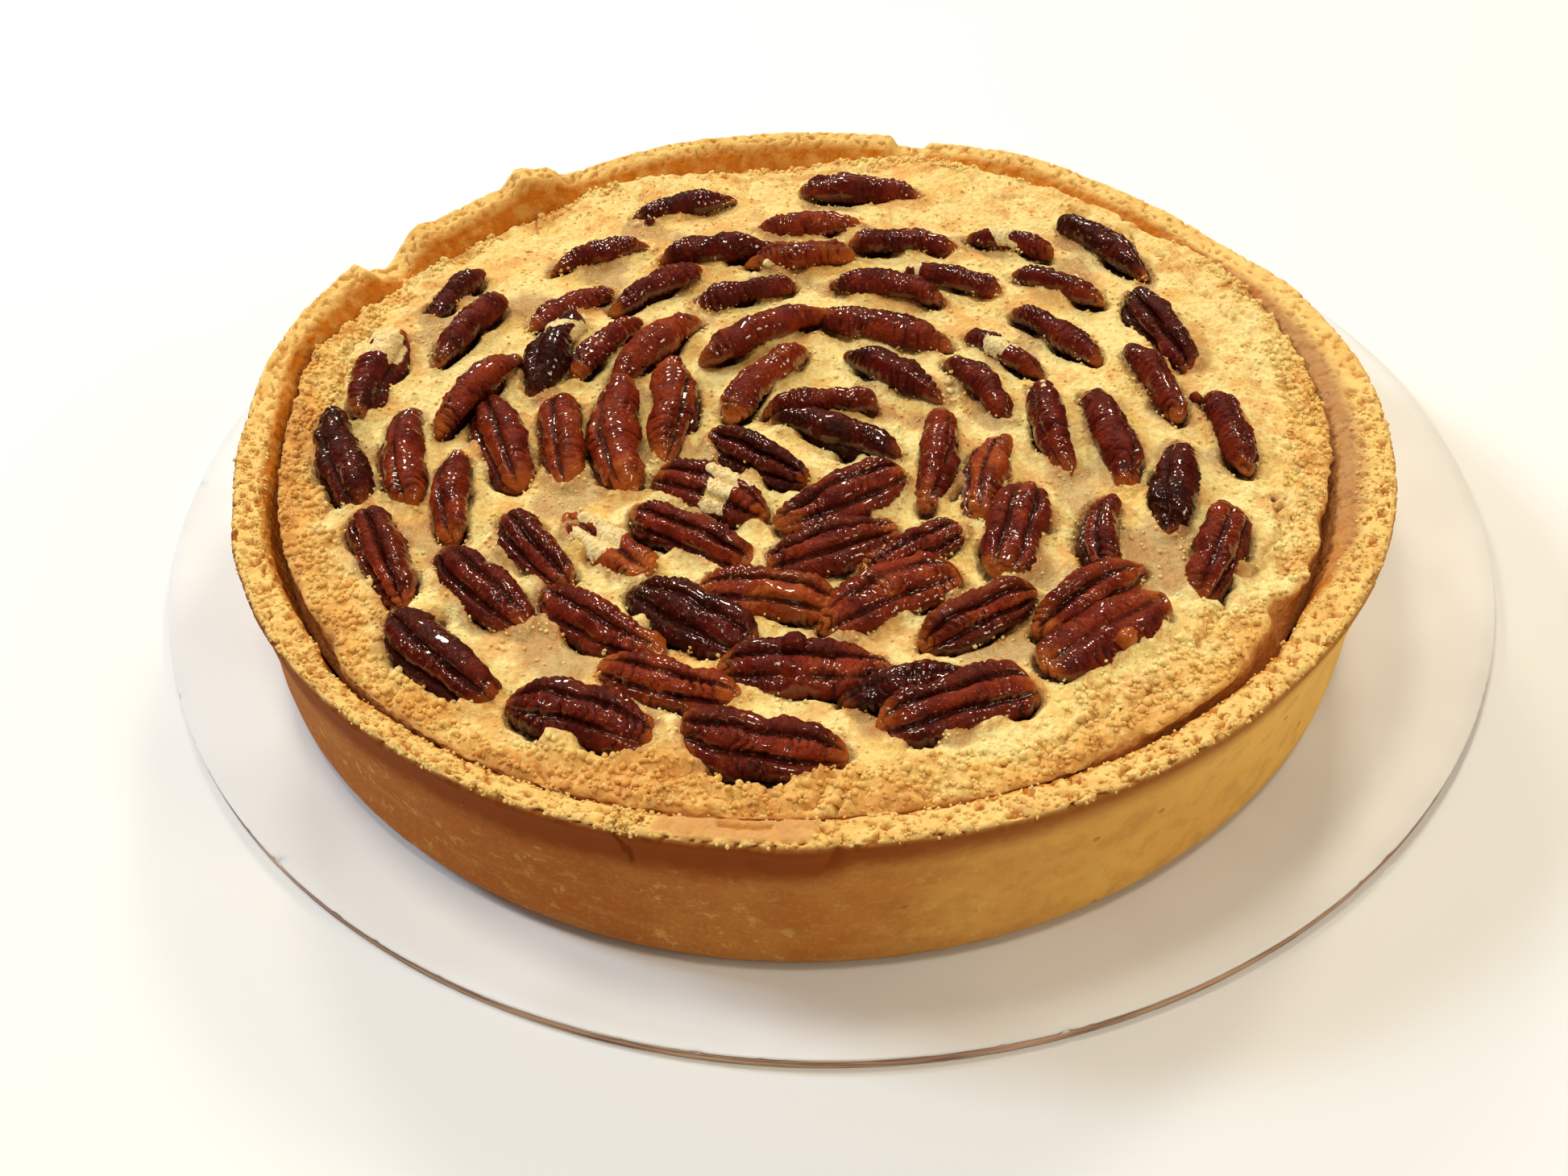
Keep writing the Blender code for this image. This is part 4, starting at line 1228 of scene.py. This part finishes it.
# Bits of nut that came off: bearing, distance, size (mm), 1 for pale flesh, and roast
NUT_BITS = [
    (267.0, 76.5, 4.2, 0, 2),
    (305.4, 94.3, 3.8, 0, 7.5),
    (101.0, 51.0, 3.0, 1, 5),
    (97.5, 53.0, 2.2, 1, 5),
    (115.0, 85.0, 2.6, 0, 3),
    (117.0, 86.0, 2.0, 1, 5),
    (33.5, 77.5, 2.2, 1, 5),
    (4.5, 32.0, 2.4, 1, 5),
    (9.5, 32.0, 1.8, 1, 5),
    (358.0, 83.8, 2.6, 0, 4),
]


def crumb_piece(name, spots, sizes, traits, finish, slot, detail=0):
    """One mesh of many small uneven grains round the given spots."""
    grain = bmesh.new()
    bmesh.ops.create_icosphere(grain, subdivisions=detail, radius=1.0)
    ball = np.array([vertex.co[:] for vertex in grain.verts])
    corners = [tuple(vertex.index for vertex in face.verts) for face in grain.faces]
    grain.free()
    chance = np.random.default_rng(CRUMB_SEED + len(spots))
    points = []
    faces = []
    for spot, size in zip(spots, sizes):
        stretch = chance.uniform(0.65, 1.3, 3) * size / 2
        turn = np.array(Euler(chance.uniform(0, 6.28, 3)).to_matrix())
        knobs = 1 + chance.uniform(-0.22, 0.22, (len(ball), 1))
        first = len(points)
        points += list((ball * knobs * stretch) @ turn.T + spot)
        faces += [tuple(first + corner for corner in face) for face in corners]
    traits = {trait: np.repeat(values, len(ball)) for trait, values in traits.items()}
    add_piece(name, points, faces, traits, finish, slot)


chance = np.random.default_rng(CRUMB_SEED)
top_points = filling_points[: len(flat)]
beside = np.flatnonzero((gaps > 0.1 * MM) & (gaps < 1.6 * MM))
open_ground = np.flatnonzero((gaps > 1.6 * MM) & (reach > 1.5 * MM))
on_ring = np.flatnonzero((gaps > 1.6 * MM) & (reach > 0.4 * MM) & (toast > BROWN_ENOUGH))
kinds = [
    (beside, CRUMBS_BESIDE_NUTS),
    (open_ground, CRUMBS_ON_OPEN_GROUND),
    (on_ring, CRUMBS_ON_THE_RING),
]
picked = np.concatenate([chance.choice(ground, count, replace=False) for ground, count in kinds])
sizes = chance.uniform(0.35, 0.95, len(picked))
coarser = 1.1 * chance.uniform(0, 1, len(picked)) * (toast[picked] > BROWN_ENOUGH)
sizes = sizes * (1 + coarser) * MM
spots = top_points[picked] + np.column_stack([np.zeros((len(picked), 2)), sizes * 0.15])
clinging = chance.integers(0, len(contacts), CRUMBS_ON_NUTS)
climbs = chance.uniform(0, 1, len(clinging)) ** 2.2 * CLIMB
on_nuts = np.array([tuple(contacts[index][0]) for index in clinging])
on_nuts += chance.uniform(-0.35 * MM, 0.35 * MM, on_nuts.shape)
on_nuts[:, 2] += climbs
on_nuts = np.array([tuple(nuts.find_nearest(Vector(spot))[0]) for spot in on_nuts])
spots = np.concatenate([spots, on_nuts])
sizes = np.concatenate([sizes, chance.uniform(0.25, 0.85, len(clinging)) * MM])
picked = np.concatenate([picked, [contacts[index][1] for index in clinging]])
crumb_traits = {
    "toast": toast[picked],
    "wet": wetness[picked] * 0.3,
    "pore": np.zeros(len(picked)),
    "rise": coarse[picked],
    "loose": np.ones(len(picked)),
}
crumb_piece("sponge_crumbs", spots, sizes, crumb_traits, sponge, "filling")

spots = []
for bit_bearing, distance, _, _, _ in NUT_BITS:
    spot = Vector((*flat_spot(bit_bearing, distance), 0))
    spot += TART_OFFSET + Vector((0, 0, 50 * MM))
    on_nut = nuts.ray_cast(spot, Vector((0, 0, -1)))[0]
    nearest = np.argmin(np.linalg.norm(top_points[:, :2] - np.array(spot[:2]), axis=1))
    spots.append(top_points[nearest] if on_nut is None else np.array(on_nut))
sizes = np.array([size for _, _, size, _, _ in NUT_BITS]) * MM
bit_traits = {
    "bare": [bare for _, _, _, bare, _ in NUT_BITS],
    "roast": [roast / 9 for _, _, _, _, roast in NUT_BITS],
    "crease": np.zeros(len(NUT_BITS)),
    "fold": np.ones(len(NUT_BITS)),
    "along": np.zeros(len(NUT_BITS)),
}
crumb_piece("nut_bits", spots, sizes, bit_traits, glazed, "pecan", detail=2)

broken_rim = np.flatnonzero(weight > 0.7)
picked = chance.choice(broken_rim, CRUMBS_ON_RIM, replace=False)
sizes = chance.uniform(0.3, 0.85, len(picked)) * MM
spots = case_points[picked] + chance.uniform(-0.3 * MM, 0.3 * MM, (len(picked), 3))
rim_traits = {"rim": 1, "pore": 0, "inner": 0, "mend": 0, "split": 0, "loose": 1}
rim_traits = {trait: np.full(len(picked), value) for trait, value in rim_traits.items()}
crumb_piece("rim_crumbs", spots, sizes, rim_traits, pastry, "crust")


# ---- Floor and light ----
# A pale counter. Cool daylight comes from the left and warm light from the right, and four small
# warm lamps overhead leave their gleams in the syrup.

COUNTER_PALE = (0.84, 0.84, 0.84)
COUNTER_DULL = (0.80, 0.80, 0.80)
WARM_LAMPS = [(-0.5, 1.35, 1.0), (0.45, 1.1, 1.15), (0.1, -0.5, 1.7), (-0.4, 0.2, 1.7)]

counter, shade, sockets = new_finish("pale_counter", Roughness=0.6)
tone = shade.noise(0.4, 2).between(0.3, 0.7).blend(COUNTER_PALE, COUNTER_DULL)
feed(tone, sockets["Base Color"])
floor_mesh = bmesh.new()
bmesh.ops.create_grid(floor_mesh, x_segments=1, y_segments=1, size=12.0)
ground = bpy.data.meshes.new("floor")
floor_mesh.to_mesh(ground)
floor_mesh.free()
floor = bpy.data.objects.new("floor", ground)
floor.location.z = -0.2 * MM
ground.materials.append(counter)
bpy.context.scene.collection.objects.link(floor)


def add_light(name, size, power, place, colour, gleams=True):
    """A square soft light that faces the tart and may leave the glazed things without a gleam."""
    lamp = bpy.data.objects.new(name, bpy.data.lights.new(name, "AREA"))
    lamp.data.size = size
    lamp.data.energy = power
    lamp.data.color = colour
    lamp.location = place
    lamp.rotation_euler = (Vector((0, 0, 0.03)) - Vector(place)).to_track_quat("-Z", "Y").to_euler()
    lamp.visible_glossy = gleams
    bpy.context.scene.collection.objects.link(lamp)


add_light("window", 0.4, 27.0, (-1.7, 0.5, 1.4), (0.64, 0.80, 1.0), gleams=False)
add_light("fill", 0.5, 9.5, (1.7, -0.9, 1.1), (1.0, 0.86, 0.60))
for number, place in enumerate(WARM_LAMPS, 1):
    add_light(f"lamp_{number}", 0.26, 7.2, place, (1.0, 0.91, 0.74))
world = bpy.data.worlds.new("room")
world.use_nodes = True
world.node_tree.nodes["Background"].inputs["Color"].default_value = (1.0, 0.92, 0.75, 1)
world.node_tree.nodes["Background"].inputs["Strength"].default_value = 0.28
world.cycles_visibility.glossy = False
bpy.context.scene.world = world
